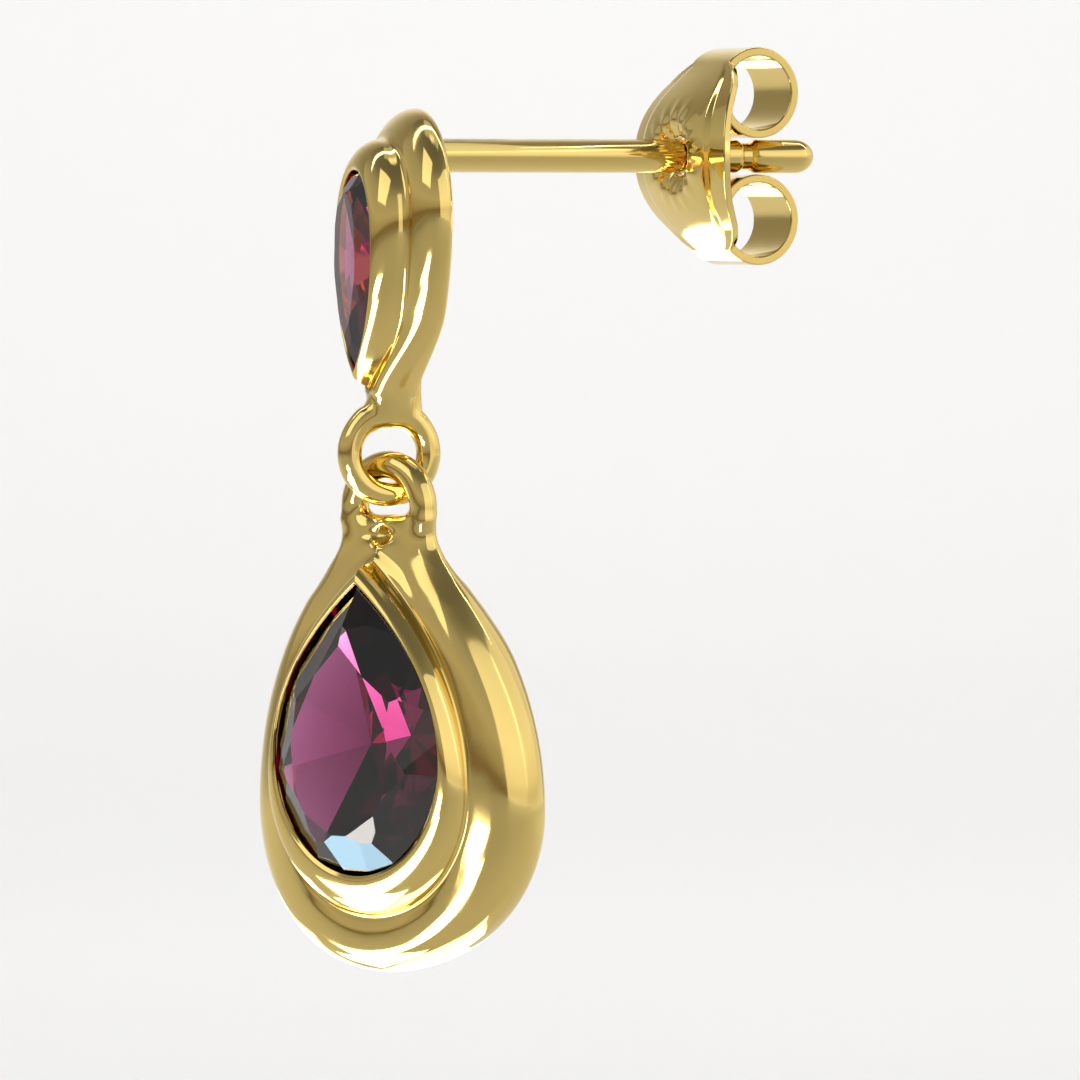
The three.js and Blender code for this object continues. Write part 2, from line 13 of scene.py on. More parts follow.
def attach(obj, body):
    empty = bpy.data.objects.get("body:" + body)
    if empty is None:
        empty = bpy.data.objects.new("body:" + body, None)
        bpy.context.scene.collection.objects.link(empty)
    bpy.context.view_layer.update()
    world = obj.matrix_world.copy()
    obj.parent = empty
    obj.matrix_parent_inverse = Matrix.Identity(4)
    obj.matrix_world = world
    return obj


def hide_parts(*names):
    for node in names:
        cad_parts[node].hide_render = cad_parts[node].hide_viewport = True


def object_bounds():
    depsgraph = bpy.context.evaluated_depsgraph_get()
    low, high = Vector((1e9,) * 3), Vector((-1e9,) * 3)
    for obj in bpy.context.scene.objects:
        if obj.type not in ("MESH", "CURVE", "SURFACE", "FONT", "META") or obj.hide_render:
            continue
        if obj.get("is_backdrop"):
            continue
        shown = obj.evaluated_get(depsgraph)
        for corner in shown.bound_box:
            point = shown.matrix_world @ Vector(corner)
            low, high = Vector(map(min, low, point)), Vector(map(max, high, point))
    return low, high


bl_info = {
    "name": "Drop Earring",
    "version": (1, 0, 0),
    "blender": (4, 5, 0),
    "location": "3D View > Sidebar > Earring",
    "description": "Builds a drop earring with pear-cut stones around its CAD frame",
    "category": "Add Mesh",
}

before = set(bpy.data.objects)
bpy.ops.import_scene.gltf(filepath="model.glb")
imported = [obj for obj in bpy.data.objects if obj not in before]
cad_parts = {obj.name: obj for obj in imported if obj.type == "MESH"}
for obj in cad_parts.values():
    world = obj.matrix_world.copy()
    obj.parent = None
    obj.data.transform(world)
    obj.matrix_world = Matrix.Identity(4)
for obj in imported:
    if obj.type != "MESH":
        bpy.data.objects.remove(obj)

MM = 0.001

# Points down one flank of an outline, and round half of its head
OUTLINE_STEPS = (84, 60)
STONE_STEPS = (48, 32)
# A stone's head as a share of its length, and the heads of groove and rim to their half widths
HEAD_SHARE, GROOVE_ROUND, RIM_ROUND = 0.405, 1.04, 0.95
# How far the lip covers the stone, the play round the stone, and the gallery behind it
STONE_COVER, STONE_PLAY = 0.07 * MM, 0.05 * MM
GALLERY_INSET, GALLERY_TIP_INSET = 0.45 * MM, 0.9 * MM
# A stone's girdle, from the lip backwards
GIRDLE_TOP, GIRDLE = 0.22 * MM, 0.08 * MM
# Facets: (share of the table's inset, share of the height) that each kind of facet reaches
CROWN_MAIN, CROWN_BREAK = (1, 1), (0.5, 0.56)
PAVILION_MAIN, PAVILION_BREAK = (1, 1), (0.6, 0.72)
MAINS, TABLE_INSET = 8, 0.21
STAR_SLOPE, STAR_REACH = 0.42, 1.06
# The dent over a stone's tip, and how far it lies below the neck's top
DENT_RADIUS, DENT_DROP, DROP_DENT = 0.34 * MM, 0.5 * MM, 0.42 * MM
# Seams between united pieces: vertices closer than this merge, and the rest is evened out
SEAM_GAP, SEAM_STEPS = 0.012 * MM, 110
SHARP = math.radians(32)
# The ring grows thicker towards the stud by this share, with this power of its height
RING_SWELL, RING_SWELL_POWER = 0.4, 5
# Solder round the post's foot: (millimetres behind the stud, share of the radius)
POST_FOOT = [(-0.3, 1), (0, 1.25), (0.06, 1.12), (0.16, 1.03), (0.3, 1)]
# The post's notch: (share of its width from its middle, share of its depth)
NOTCH = [(-0.5, 0), (-0.4, 0.2), (-0.2, 1), (0.2, 1), (0.4, 0.2), (0.5, 0)]
POST_DOME = 1.15
# How much thinner the bail's legs end, down along the rim
LEG_TAPER = 0.45
CURL_START = math.radians(138)
PLATE_STEPS, CURL_STEPS, PLATE_COLUMNS = 44, 100, 56
RAY_REACH = 1.45
EDGE_ROUND = 0.03 * MM

# Stage, in metres: what the camera looks at, the floor and the wall behind it
LOOK_ASIDE, LOOK_UP = 2.76 * MM, -9.07 * MM
FLOOR_FRONT, FLOOR_BACK, FLOOR_HALF, COVE, WALL = 0.77, 0.3025, 1.0, 0.3, 0.6
# Room behind the lights: its colour at the horizon, and from there up to the ceiling
HORIZON = (0.26, 0.2, 0.13, 1)
ROOM = [
    (0.01, (0.2, 0.165, 0.12)),
    (0.07, (0.42, 0.38, 0.31)),
    (0.2, (0.55, 0.53, 0.49)),
    (0.5, (0.42, 0.42, 0.41)),
    (0.75, (0.2, 0.2, 0.2)),
    (0.99, (0.15, 0.15, 0.16)),
]
# Lamps: name, place (towards the camera, to its right, up), size, watts, and where they aim
# (towards the camera, up) if not at the earring
LAMPS = [
    ("key", (0.16, -0.2, 0.22), (0.2, 0.2), 0.13, None),
    ("side", (0.2, 0.24, 0.1), (0.4, 0.3), 0.27, None),
    ("far side", (-0.1, 0.3, 0.08), (0.36, 0.3), 0.2, None),
    ("top", (-0.06, 0.03, 0.34), (0.26, 0.2), 0.07, None),
    ("wall", (-0.25, 0.0, 0.32), (0.3, 0.2), 0.92, (-0.7, 0.1)),
    ("low", (-0.04, 0.0, 0.13), (0.3, 0.06), 0.28, (-0.6, -0.2)),
]
# Small lamps just over the floor that shine upwards: name, place, size, watts, colour
WARM, SKY = (1, 0.97, 0.9), (0.5, 0.8, 1)
FLOOR_LAMPS = [
    ("under", (-0.0345, -0.0095), (0.051, 0.022), 0.0141, WARM),
    ("foot", (-0.0029, -0.001), (0.0122, 0.009), 0.0014, WARM),
    ("strip", (0.0155, -0.0215), (0.033, 0.0155), 0.0117, WARM),
    ("far strip", (0.0465, -0.0305), (0.029, 0.022), 0.0147, WARM),
    ("window", (0.0, -0.01025), (0.01, 0.0085), 0.0019, SKY),
]
FLOOR_LAMP_HEIGHT = 0.002

# Section of a setting from the lip to the back. across: 0 at the opening, 1 at the groove, 2 at
# the rim. depth: share of the depth. ends: how far it follows the rim's ends forward. neck: its
# place in the neck, 0 front to 1 back.
DROP_SECTION = [
    (0, 0.02, 0, 0),
    (0.12, 0, 0, 0),
    (0.36, 0.015, 0, 0),
    (0.62, 0.055, 0, 0),
    (0.84, 0.125, 0, 0),
    (0.96, 0.2, 0, 0),
    (1.03, 0.262, 0.1, 0),
    (1.12, 0.272, 0.3, 0),
    (1.28, 0.3, 0.6, 0),
    (1.5, 0.35, 0.8, 0.02),
    (1.7, 0.42, 0.95, 0.08),
    (1.86, 0.51, 1, 0.2),
    (1.96, 0.62, 1, 0.36),
    (2, 0.74, 1, 0.55),
    (1.98, 0.84, 0.8, 0.74),
    (1.9, 0.94, 0.4, 0.9),
    (1.72, 1, 0, 1),
]
STUD_SECTION = [
    (0, 0.02, 0, 0),
    (0.12, 0, 0, 0),
    (0.36, 0.03, 0, 0),
    (0.6, 0.095, 0, 0),
    (0.8, 0.185, 0, 0),
    (0.94, 0.3, 0, 0),
    (1, 0.42, 0, 0),
    (1.1, 0.46, 0.1, 0),
    (1.3, 0.49, 0.3, 0),
    (1.52, 0.54, 0.5, 0.03),
    (1.74, 0.61, 0.7, 0.12),
    (1.9, 0.69, 0.9, 0.28),
    (1.98, 0.77, 1, 0.45),
    (2, 0.84, 0.8, 0.6),
    (1.97, 0.91, 0.5, 0.76),
    (1.88, 0.97, 0.2, 0.9),
    (1.74, 1, 0, 1),
]


def size(name, description, millimetres):
    """A length property, given in millimetres and kept in metres."""
    return FloatProperty(
        name=name,
        description=description,
        default=millimetres * MM,
        unit="LENGTH",
        precision=5,
    )


def share(name, description, value):
    """A plain number property."""
    return FloatProperty(name=name, description=description, default=value)


def degrees(name, description, value):
    """An angle property, given in degrees and kept in radians."""
    return FloatProperty(
        name=name, description=description, default=math.radians(value), subtype="ANGLE"
    )


def count(name, description, value):
    """A whole number property."""
    return IntProperty(name=name, description=description, default=value, min=1)


class EARRING_PG_drop(bpy.types.PropertyGroup):
    """Sizes of the drop's setting and stone."""

    stone_length: size("Stone length", "Tip to round end of the stone", 7.0)
    stone_width: size("Stone width", "Widest part of the stone", 5.0)
    crown: size("Crown", "Height of the crown above the girdle", 0.82)
    pavilion: size("Pavilion", "Depth of the pavilion below the girdle", 1.9)
    depth: size("Depth", "Depth of the setting from lip to back", 2.45)
    bezel_side: size("Bezel side", "Width of the bezel at the sides", 0.42)
    bezel_foot: size("Bezel foot", "Width of the bezel at the round end", 0.97)
    bezel_tip: size("Bezel tip", "Width of the bezel at the tip", 0.5)
    rim_side: size("Rim side", "Width of the rim at the sides", 1.15)
    rim_foot: size("Rim foot", "Width of the rim at the round end", 1.35)
    rim_tip: size("Rim tip", "Width of the rim at the tip", 1.12)
    rim_advance: size("Rim advance", "How far the rim comes forward at its ends", 0.6)
    neck_width: size("Neck width", "Width of the neck", 2.6)
    neck_thickness: size("Neck thickness", "Thickness of the neck", 0.8)
    neck_depth: size("Neck depth", "Middle of the neck behind the lip", 1.34)
    yaw: degrees("Yaw", "Turn of the hanging drop about the vertical", 35)


class EARRING_PG_stud(bpy.types.PropertyGroup):
    """Sizes of the stud's setting, stone and post."""

    stone_length: size("Stone length", "Tip to round end of the stone", 4.9)
    stone_width: size("Stone width", "Widest part of the stone", 2.9)
    crown: size("Crown", "Height of the crown above the girdle", 0.42)
    pavilion: size("Pavilion", "Depth of the pavilion below the girdle", 1.2)
    depth: size("Depth", "Depth of the setting from lip to back", 1.74)
    bezel_side: size("Bezel side", "Width of the bezel at the sides", 0.48)
    bezel_foot: size("Bezel foot", "Width of the bezel at the round end", 0.74)
    bezel_tip: size("Bezel tip", "Width of the bezel at the tip", 0.4)
    rim_side: size("Rim side", "Width of the rim at the sides", 0.66)
    rim_foot: size("Rim foot", "Width of the rim at the round end", 0.72)
    rim_tip: size("Rim tip", "Width of the rim at the tip", 0.52)
    rim_advance: size("Rim advance", "How far the rim comes forward at its ends", -0.1)
    neck_width: size("Neck width", "Width of the neck", 0.95)
    neck_thickness: size("Neck thickness", "Thickness of the neck", 1.05)
    neck_depth: size("Neck depth", "Middle of the neck behind the lip", 0.9)
    post_below_top: size("Post below top", "Post's axis below the stud's top", 1.12)
    post_diameter: size("Post diameter", "Thickness of the post", 0.8)
    post_length: size("Post length", "Length of the post behind the stud", 9.75)
    notch_depth: size("Notch depth", "Depth of the notch for the back", 0.09)
    notch_width: size("Notch width", "Width of the notch for the back", 0.5)


class EARRING_PG_links(bpy.types.PropertyGroup):
    """Sizes of the fixed ring and of the bail that hangs in it."""

    ring_radius: size("Ring radius", "Radius of the ring's middle line", 0.97)
    ring_wire: size("Ring wire", "Thickness of the ring", 0.58)
    ring_sink: size("Ring sink", "How far the ring sinks into the stud's tip", 0.26)
    bail_wire: size("Bail wire", "Thickness of the bail's arch", 0.68)
    bail_foot: size("Bail foot", "Thickness of the bail where it meets the drop", 0.8)
    bail_span: size("Bail span", "Distance between the bail's legs", 2.0)
    bail_root: size("Bail root", "How far the legs reach down along the rim", 2.4)
    clearance: size("Link clearance", "Play between ring and bail", 0.07)
    ring_to_drop: size("Ring to drop", "Gap from the ring to the drop's top", 0.17)
    sides: count("Wire sides", "Facets round each wire", 40)


class EARRING_PG_back(bpy.types.PropertyGroup):
    """Sizes of the butterfly back."""

    sheet: size("Sheet", "Thickness of the stamped sheet", 0.2)
    from_stud: size("From stud", "Distance from the stud's flat back", 6.2)
    half_width: size("Half width", "Half width of the plate", 2.2)
    curl_half_width: size("Curl half width", "Half width of the curls", 0.92)
    curl_radius: size("Curl radius", "Radius of the curls", 0.98)
    curl_behind: size("Curl behind", "Curls' middle behind the plate", 1.86)
    curl_tighten: share("Curl tighten", "How far the end of a curl rolls inwards", 0.1)
    curl_turn: degrees("Curl turn", "Turn of each curl", 326)
    grip: size("Grip", "Play between the curls and the post", 0.03)
    hole_play: size("Hole play", "Play between the hole and the post", 0.08)
    dish: size("Dish", "How far the plate's sides bend back", 0.22)
    dimple_depth: size("Dimple depth", "Depth of the dimple round the hole", 0.4)
    dimple_radius: size("Dimple radius", "Radius of the dimple round the hole", 1.0)
    ray_height: size("Ray height", "Height of the stamped rays", 0.05)
    crease_depth: size("Crease depth", "Step of the crease along the plate's edge", 0.07)
    fullness: share("Fullness", "How full the plate's outline is", 0.75)
    rays: count("Rays", "Number of stamped rays round the hole", 15)
    yaw: degrees("Yaw", "Turn of the back about the vertical", 10)


class EARRING_PG_stage(bpy.types.PropertyGroup):
    """Floor, lights and camera."""

    azimuth: degrees("Azimuth", "Side that the camera looks from", 72)
    elevation: degrees("Elevation", "Camera's angle above the horizon", 2)
    lens: share("Lens", "Focal length in millimetres", 300.0)
    view_height: size("View height", "Height that the picture covers at the earring", 25.5)
    floor_drop: size("Floor drop", "Floor below the drop's lowest point", 9.0)


# Geometry Nodes


class Tree:
    """One Geometry Nodes tree with named inputs, built a node at a time."""

    def __init__(self, name, inputs):
        self.tree = bpy.data.node_groups.new(name, "GeometryNodeTree")
        face = self.tree.interface
        face.new_socket("Geometry", in_out="INPUT", socket_type="NodeSocketGeometry")
        for label, kind in inputs:
            face.new_socket(label, in_out="INPUT", socket_type=f"NodeSocket{kind}")
        face.new_socket("Geometry", in_out="OUTPUT", socket_type="NodeSocketGeometry")
        self.inputs = self.tree.nodes.new("NodeGroupInput").outputs
        self.result = self.tree.nodes.new("NodeGroupOutput")

    def put(self, socket, value):
        """Links an output to a socket, or sets the socket's own value."""
        if isinstance(value, bpy.types.NodeSocket):
            self.tree.links.new(value, socket)
        else:
            socket.default_value = value

    def node(self, kind, values=(), **settings):
        """A node with its settings, and its inputs given by name or place."""
        node = self.tree.nodes.new(kind)
        for key, value in settings.items():
            setattr(node, key, value)
        for key, value in dict(values).items():
            self.put(node.inputs[key], value)
        return node

    def math(self, operation, *values):
        """The result of a Math node."""
        node = self.node("ShaderNodeMath", enumerate(values), operation=operation)
        return node.outputs[0]

    def mix(self, a, b, factor):
        """A value between a and b."""
        rise = self.math("SUBTRACT", b, a)
        return self.math("MULTIPLY_ADD", rise, factor, a)

    def ease(self, value, low, high):
        """A smooth step from 0 at low to 1 at high."""
        values = {"Value": value, "From Min": low, "From Max": high}
        node = self.node("ShaderNodeMapRange", values, interpolation_type="SMOOTHSTEP")
        return node.outputs["Result"]

    def split(self, vector):
        """The three parts of a vector."""
        return self.node("ShaderNodeSeparateXYZ", {0: vector}).outputs

    def join(self, x, y, z):
        """A vector from its three parts."""
        return self.node("ShaderNodeCombineXYZ", {0: x, 1: y, 2: z}).outputs[0]

    def place(self):
        """The position field."""
        return self.node("GeometryNodeInputPosition").outputs[0]

    def attribute(self, name):
        """A named float attribute."""
        return self.node("GeometryNodeInputNamedAttribute", {"Name": name}).outputs[0]

    def put_in_place(self, geometry):
        """The geometry turned and moved as the tree's inputs say."""
        values = {"Translation": self.inputs["Place"], "Rotation": self.inputs["Turn"]}
        node = self.node("GeometryNodeTransform", {"Geometry": geometry, **values})
        return node.outputs[0]

    def end(self, geometry):
        """Shades, realizes, sets the material and closes the tree."""
        angle = self.node("GeometryNodeInputMeshEdgeAngle").outputs["Unsigned Angle"]
        corner = self.math("GREATER_THAN", angle, SHARP)
        smooth = self.node("GeometryNodeSetShadeSmooth", {"Geometry": geometry}, domain="FACE")
        sharp = self.node(
            "GeometryNodeSetShadeSmooth",
            {"Geometry": smooth.outputs[0], "Selection": corner, "Shade Smooth": False},
            domain="EDGE",
        )
        real = self.node("GeometryNodeRealizeInstances", {"Geometry": sharp.outputs[0]})
        painted = self.node(
            "GeometryNodeSetMaterial",
            {"Geometry": real.outputs[0], "Material": self.inputs["Material"]},
        )
        self.put(self.result.inputs[0], painted.outputs[0])
        return self.tree


def setting_tree():
    """Sweeps a section round five pear outlines, and closes it into the neck at the tip.

    The base holds the outlines' points, gallery, pocket, opening, groove and rim, and then the
    section's rows as (outline, depth share, ends), with their place in the neck beside them.
    """
    tree = Tree(
        "Setting sweep",
        [
            ("Outline Points", "Int"),
            ("Section Rows", "Int"),
            ("Depth", "Float"),
            ("Rim Advance", "Float"),
            ("Widest Height", "Float"),
            ("Tip Rise", "Float"),
            ("Foot Drop", "Float"),
            ("Neck Front", "Float"),
            ("Neck Back", "Float"),
            ("Dent Height", "Float"),
            ("Dent Depth", "Float"),
            ("Dent Radius", "Float"),
            ("Place", "Vector"),
            ("Turn", "Vector"),
            ("Material", "Material"),
        ],
    )
    given = tree.inputs
    points, rows = given["Outline Points"], given["Section Rows"]
    columns_in_grid = tree.math("ADD", points, 1)
    rows_in_grid = tree.math("ADD", rows, 1)
    grid = tree.node(
        "GeometryNodeMeshGrid",
        {"Vertices X": columns_in_grid, "Vertices Y": rows_in_grid},
    ).outputs["Mesh"]

    index = tree.node("GeometryNodeInputIndex").outputs[0]
    middle = tree.math("ADD", index, 0.5)
    column = tree.math("FLOOR", tree.math("DIVIDE", middle, rows_in_grid))
    row = tree.math("SUBTRACT", index, tree.math("MULTIPLY", column, rows_in_grid))
    around = tree.math("MODULO", column, points)
    along = tree.math("MODULO", row, rows)

    def sample(value, at, kind):
        node = tree.node(
            "GeometryNodeSampleIndex",
            {"Geometry": given["Geometry"], "Value": value, "Index": at},
            data_type=kind,
            domain="POINT",
        )
        return node.outputs["Value"]

    row_at = tree.math("MULTIPLY_ADD", points, 5, along)
    section = tree.split(sample(tree.place(), row_at, "FLOAT_VECTOR"))
    neck_share = sample(tree.attribute("neck"), row_at, "FLOAT")
    across, depth_share, ends = section[0], section[1], section[2]
    lower = tree.math("MINIMUM", tree.math("FLOOR", across), 3)
    between = tree.math("SUBTRACT", across, lower)
    from_at = tree.math("MULTIPLY_ADD", lower, points, around)
    to_at = tree.math("ADD", from_at, points)
    inner = tree.split(sample(tree.place(), from_at, "FLOAT_VECTOR"))
    outer = tree.split(sample(tree.place(), to_at, "FLOAT_VECTOR"))
    x = tree.mix(inner[0], outer[0], between)
    z = tree.mix(inner[2], outer[2], between)

    up = tree.math("SUBTRACT", z, given["Widest Height"])
    reach_up = tree.math("MAXIMUM", tree.math("DIVIDE", up, given["Tip Rise"]), 0)
    down = tree.math("MULTIPLY", up, -1)
    reach_down = tree.math("MAXIMUM", tree.math("DIVIDE", down, given["Foot Drop"]), 0)
    reach = tree.math("MAXIMUM", reach_up, reach_down)
    advance = tree.math("MULTIPLY", given["Rim Advance"], ends)
    advance = tree.math("MULTIPLY", advance, tree.math("POWER", reach, 2))
    back = tree.math("MULTIPLY", advance, -1)
    depth = tree.math("MULTIPLY_ADD", depth_share, given["Depth"], back)
    on_neck = tree.mix(given["Neck Front"], given["Neck Back"], neck_share)
    outwards = tree.ease(across, 2.8, 3.3)
    upwards = tree.ease(reach_up, 0.5, 0.96)
    y = tree.mix(depth, on_neck, tree.math("MULTIPLY", outwards, upwards))

    below = tree.math("SUBTRACT", z, given["Dent Height"])
    away = tree.node("ShaderNodeVectorMath", {0: tree.join(x, 0, below)}, operation="LENGTH")
    near = tree.ease(tree.math("DIVIDE", away.outputs["Value"], given["Dent Radius"]), 1, 0)
    front = tree.ease(neck_share, 0.4, 0.05)
    front = tree.math("MULTIPLY", front, tree.math("GREATER_THAN", across, 2.9))
    dent = tree.math("MULTIPLY", tree.math("MULTIPLY", near, front), given["Dent Depth"])
    y = tree.math("ADD", y, dent)

    moved = tree.node(
        "GeometryNodeSetPosition", {"Geometry": grid, "Position": tree.join(x, y, z)}
    )
    closed = tree.node(
        "GeometryNodeMergeByDistance", {"Geometry": moved.outputs[0], "Distance": 1e-6}
    )
    return tree.end(tree.put_in_place(closed.outputs[0]))


def wire_tree():
    """Sweeps a round section along a line of points, as thick as their radius says."""
    tree = Tree("Wire sweep", [("Sides", "Int"), ("Material", "Material")])
    path = tree.node("GeometryNodeMeshToCurve", {"Mesh": tree.inputs["Geometry"]})
    circle = tree.node(
        "GeometryNodeCurvePrimitiveCircle",
        {"Resolution": tree.inputs["Sides"], "Radius": 1.0},
    )
    tube = tree.node(
        "GeometryNodeCurveToMesh",
        {
            "Curve": path.outputs[0],
            "Profile Curve": circle.outputs[0],
            "Scale": tree.attribute("thick"),
            "Fill Caps": True,
        },
    )
    return tree.end(tube.outputs[0])


def press_tree():
    """Presses the rays and the edge crease into the plate, thickens it and cuts the post hole."""
    tree = Tree(
        "Back press",
        [
            ("Thickness", "Float"),
            ("Rays", "Int"),
            ("Ray Height", "Float"),
            ("Ray Start", "Float"),
            ("Ray End", "Float"),
            ("Crease Depth", "Float"),
            ("Hole Radius", "Float"),
            ("Hole Length", "Float"),
            ("Place", "Vector"),
            ("Turn", "Vector"),
            ("Material", "Material"),
        ],
    )
    given = tree.inputs
    plate = tree.attribute("plate")
    edge = tree.attribute("edge")
    at = tree.split(tree.place())
    radius = tree.node("ShaderNodeVectorMath", {0: tree.join(at[0], 0, at[2])}, operation="LENGTH")
    radius = radius.outputs["Value"]
    angle = tree.math("ARCTAN2", at[2], at[0])
    wave = tree.math("COSINE", tree.math("MULTIPLY", angle, given["Rays"]))
    wave = tree.math("POWER", tree.math("MULTIPLY_ADD", wave, 0.5, 0.5), 2.2)
    middle = tree.mix(given["Ray Start"], given["Ray End"], 0.35)
    rising = tree.ease(radius, given["Ray Start"], middle)
    falling = tree.ease(radius, given["Ray End"], middle)
    ray = tree.math("MULTIPLY", tree.math("MULTIPLY", rising, falling), wave)
    ray = tree.math("MULTIPLY", ray, given["Ray Height"])
    crease = tree.ease(edge, 0.66, 0.74)
    crease = tree.math("MULTIPLY", crease, given["Crease Depth"])
    lift = tree.math("MULTIPLY", tree.math("SUBTRACT", crease, ray), plate)
    normal = tree.node("GeometryNodeInputNormal").outputs[0]
    stamped = tree.node(
        "GeometryNodeSetPosition",
        {"Geometry": given["Geometry"], "Offset": tree.join(0, lift, 0)},
    ).outputs[0]
    half = tree.math("MULTIPLY", given["Thickness"], -0.5)
    back_step = tree.node("ShaderNodeVectorMath", {0: normal}, operation="SCALE")
    tree.put(back_step.inputs["Scale"], half)
    inner = tree.node(
        "GeometryNodeSetPosition", {"Geometry": stamped, "Offset": back_step.outputs[0]}
    ).outputs[0]
    grown = tree.node(
        "GeometryNodeExtrudeMesh",
        {"Mesh": inner, "Offset": normal, "Offset Scale": given["Thickness"], "Individual": False},
        mode="FACES",
    ).outputs["Mesh"]
    turned = tree.node("GeometryNodeFlipFaces", {"Mesh": inner}).outputs[0]
    both = tree.node("GeometryNodeJoinGeometry")
    tree.put(both.inputs[0], turned)
    tree.put(both.inputs[0], grown)
    sheet = tree.node(
        "GeometryNodeMergeByDistance", {"Geometry": both.outputs[0], "Distance": 1e-6}
    ).outputs[0]
    drill = tree.node(
        "GeometryNodeMeshCylinder",
        {"Vertices": 64, "Radius": given["Hole Radius"], "Depth": given["Hole Length"]},
    ).outputs["Mesh"]
    drill = tree.node(
        "GeometryNodeTransform", {"Geometry": drill, "Rotation": (math.pi / 2, 0, 0)}
    ).outputs[0]
    cut = tree.node("GeometryNodeMeshBoolean", operation="DIFFERENCE", solver="EXACT")
    tree.put(cut.inputs["Mesh 1"], sheet)
    tree.put(cut.inputs["Mesh 2"], drill)
    return tree.end(tree.put_in_place(cut.outputs["Mesh"]))


# Meshes


def ease(t):
    """A smooth step from 0 at 0 to 1 at 1."""
    return t * t * (3 - 2 * t)


def base_mesh(name, points, edges=(), faces=(), attributes=()):
    """A mesh from points, with float attributes on them."""
    mesh = bpy.data.meshes.new(name)
    mesh.from_pydata([tuple(p) for p in points], list(edges), list(faces))
    for label, values in dict(attributes).items():
        layer = mesh.attributes.new(label, "FLOAT", "POINT")
        layer.data.foreach_set("value", np.asarray(values, np.float32))
    return mesh


def outward(mesh):
    """Turns a closed mesh's faces outward."""
    mesh.calc_loop_triangles()
    co = np.array([v.co for v in mesh.vertices])
    tri = np.array([t.vertices for t in mesh.loop_triangles])
    a, b, c = co[tri[:, 0]], co[tri[:, 1]], co[tri[:, 2]]
    if np.einsum("ij,ij->", a, np.cross(b, c)) < 0:
        mesh.flip_normals()
    return mesh


def grow(name, base, tree, values):
    """Runs a tree on a base mesh and keeps the result as a plain mesh object."""
    piece = bpy.data.objects.new(name, base)
    bpy.context.scene.collection.objects.link(piece)
    modifier = piece.modifiers.new("grow", "NODES")
    modifier.node_group = tree
    sockets = {
        item.name: item.identifier
        for item in tree.interface.items_tree
        if item.item_type == "SOCKET" and item.in_out == "INPUT"
    }
    for label, value in values.items():
        modifier[sockets[label]] = value
    piece.update_tag()
    bpy.context.view_layer.update()
    depsgraph = bpy.context.evaluated_depsgraph_get()
    mesh = bpy.data.meshes.new_from_object(piece.evaluated_get(depsgraph))
    piece.modifiers.clear()
    piece.data = outward(mesh)
    mesh.name = name
    mesh.materials.clear()
    mesh.materials.append(values["Material"])
    mesh.polygons.foreach_set("material_index", [0] * len(mesh.polygons))
    bpy.data.meshes.remove(base)
    return piece


def weld(name, pieces, reach):
    """Unites overlapping pieces and rounds the seams where they meet."""
    whole = pieces[0]
    known = KDTree(sum(len(piece.data.vertices) for piece in pieces))
    for piece in pieces:
        for vertex in piece.data.vertices:
            known.insert(vertex.co, vertex.index)
    known.balance()
    for other in pieces[1:]:
        modifier = whole.modifiers.new("unite", "BOOLEAN")
        modifier.operation = "UNION"
        modifier.solver = "EXACT"
        modifier.use_self = True
        modifier.object = other
    bpy.context.view_layer.update()
    depsgraph = bpy.context.evaluated_depsgraph_get()
    united = bpy.data.meshes.new_from_object(whole.evaluated_get(depsgraph))
    whole.modifiers.clear()
    for other in pieces[1:]:
        bpy.data.objects.remove(other)

    work = bmesh.new()
    work.from_mesh(united)
    seam = [v for v in work.verts if known.find(v.co)[2] > 1e-7]
    close = KDTree(len(seam))
    for i, vertex in enumerate(seam):
        close.insert(vertex.co, i)
    close.balance()
    near = [v for v in work.verts if close.find(v.co)[2] < reach]
    bmesh.ops.remove_doubles(work, verts=near, dist=SEAM_GAP)
    around = {f for v in near if v.is_valid for f in v.link_faces}
    bmesh.ops.triangulate(work, faces=list(around))
    work.verts.ensure_lookup_table()
    away = np.array([close.find(v.co)[2] for v in work.verts])
    pull = ease(np.clip(1 - away / reach, 0, 1))
    co = np.array([v.co for v in work.verts])
    edges = np.array([[v.index for v in e.verts] for e in work.edges])
    edges = edges[pull[edges].max(axis=1) > 0]
    neighbours = np.maximum(np.bincount(edges.ravel(), minlength=len(co)), 1)[:, None]
    for _ in range(SEAM_STEPS):
        total = np.zeros_like(co)
        np.add.at(total, edges[:, 0], co[edges[:, 1]])
        np.add.at(total, edges[:, 1], co[edges[:, 0]])
        co += (total / neighbours - co) * (0.5 * pull)[:, None]
    for vertex, place in zip(work.verts, co):
        vertex.co = place
    for face in work.faces:
        face.smooth = True
    for edge in work.edges:
        if edge.is_valid and len(edge.link_faces) == 2:
            edge.smooth = edge.calc_face_angle() < SHARP
    work.to_mesh(united)
    work.free()
    united.name = name
    whole.data = united
    whole.name = name
    return whole


def soften(piece, width, angle):
    """Bevels the sharp edges of a piece."""
    work = bmesh.new()
    work.from_mesh(piece.data)
    edges = [
        e for e in work.edges if len(e.link_faces) == 2 and e.calc_face_angle() > angle
    ]
    bmesh.ops.bevel(work, geom=edges, offset=width, segments=2, affect="EDGES", profile=0.5)
    for face in work.faces:
        face.smooth = True
    work.to_mesh(piece.data)
    work.free()


# Outlines


def even(points, steps):
    """Points at even distances along a line of many points."""
    gaps = np.linalg.norm(np.diff(points, axis=0), axis=1)
    run = np.concatenate([[0], np.cumsum(gaps)])
    at = np.linspace(0, run[-1], steps + 1)
    return np.stack([np.interp(at, run, points[:, k]) for k in range(points.shape[1])], axis=1)


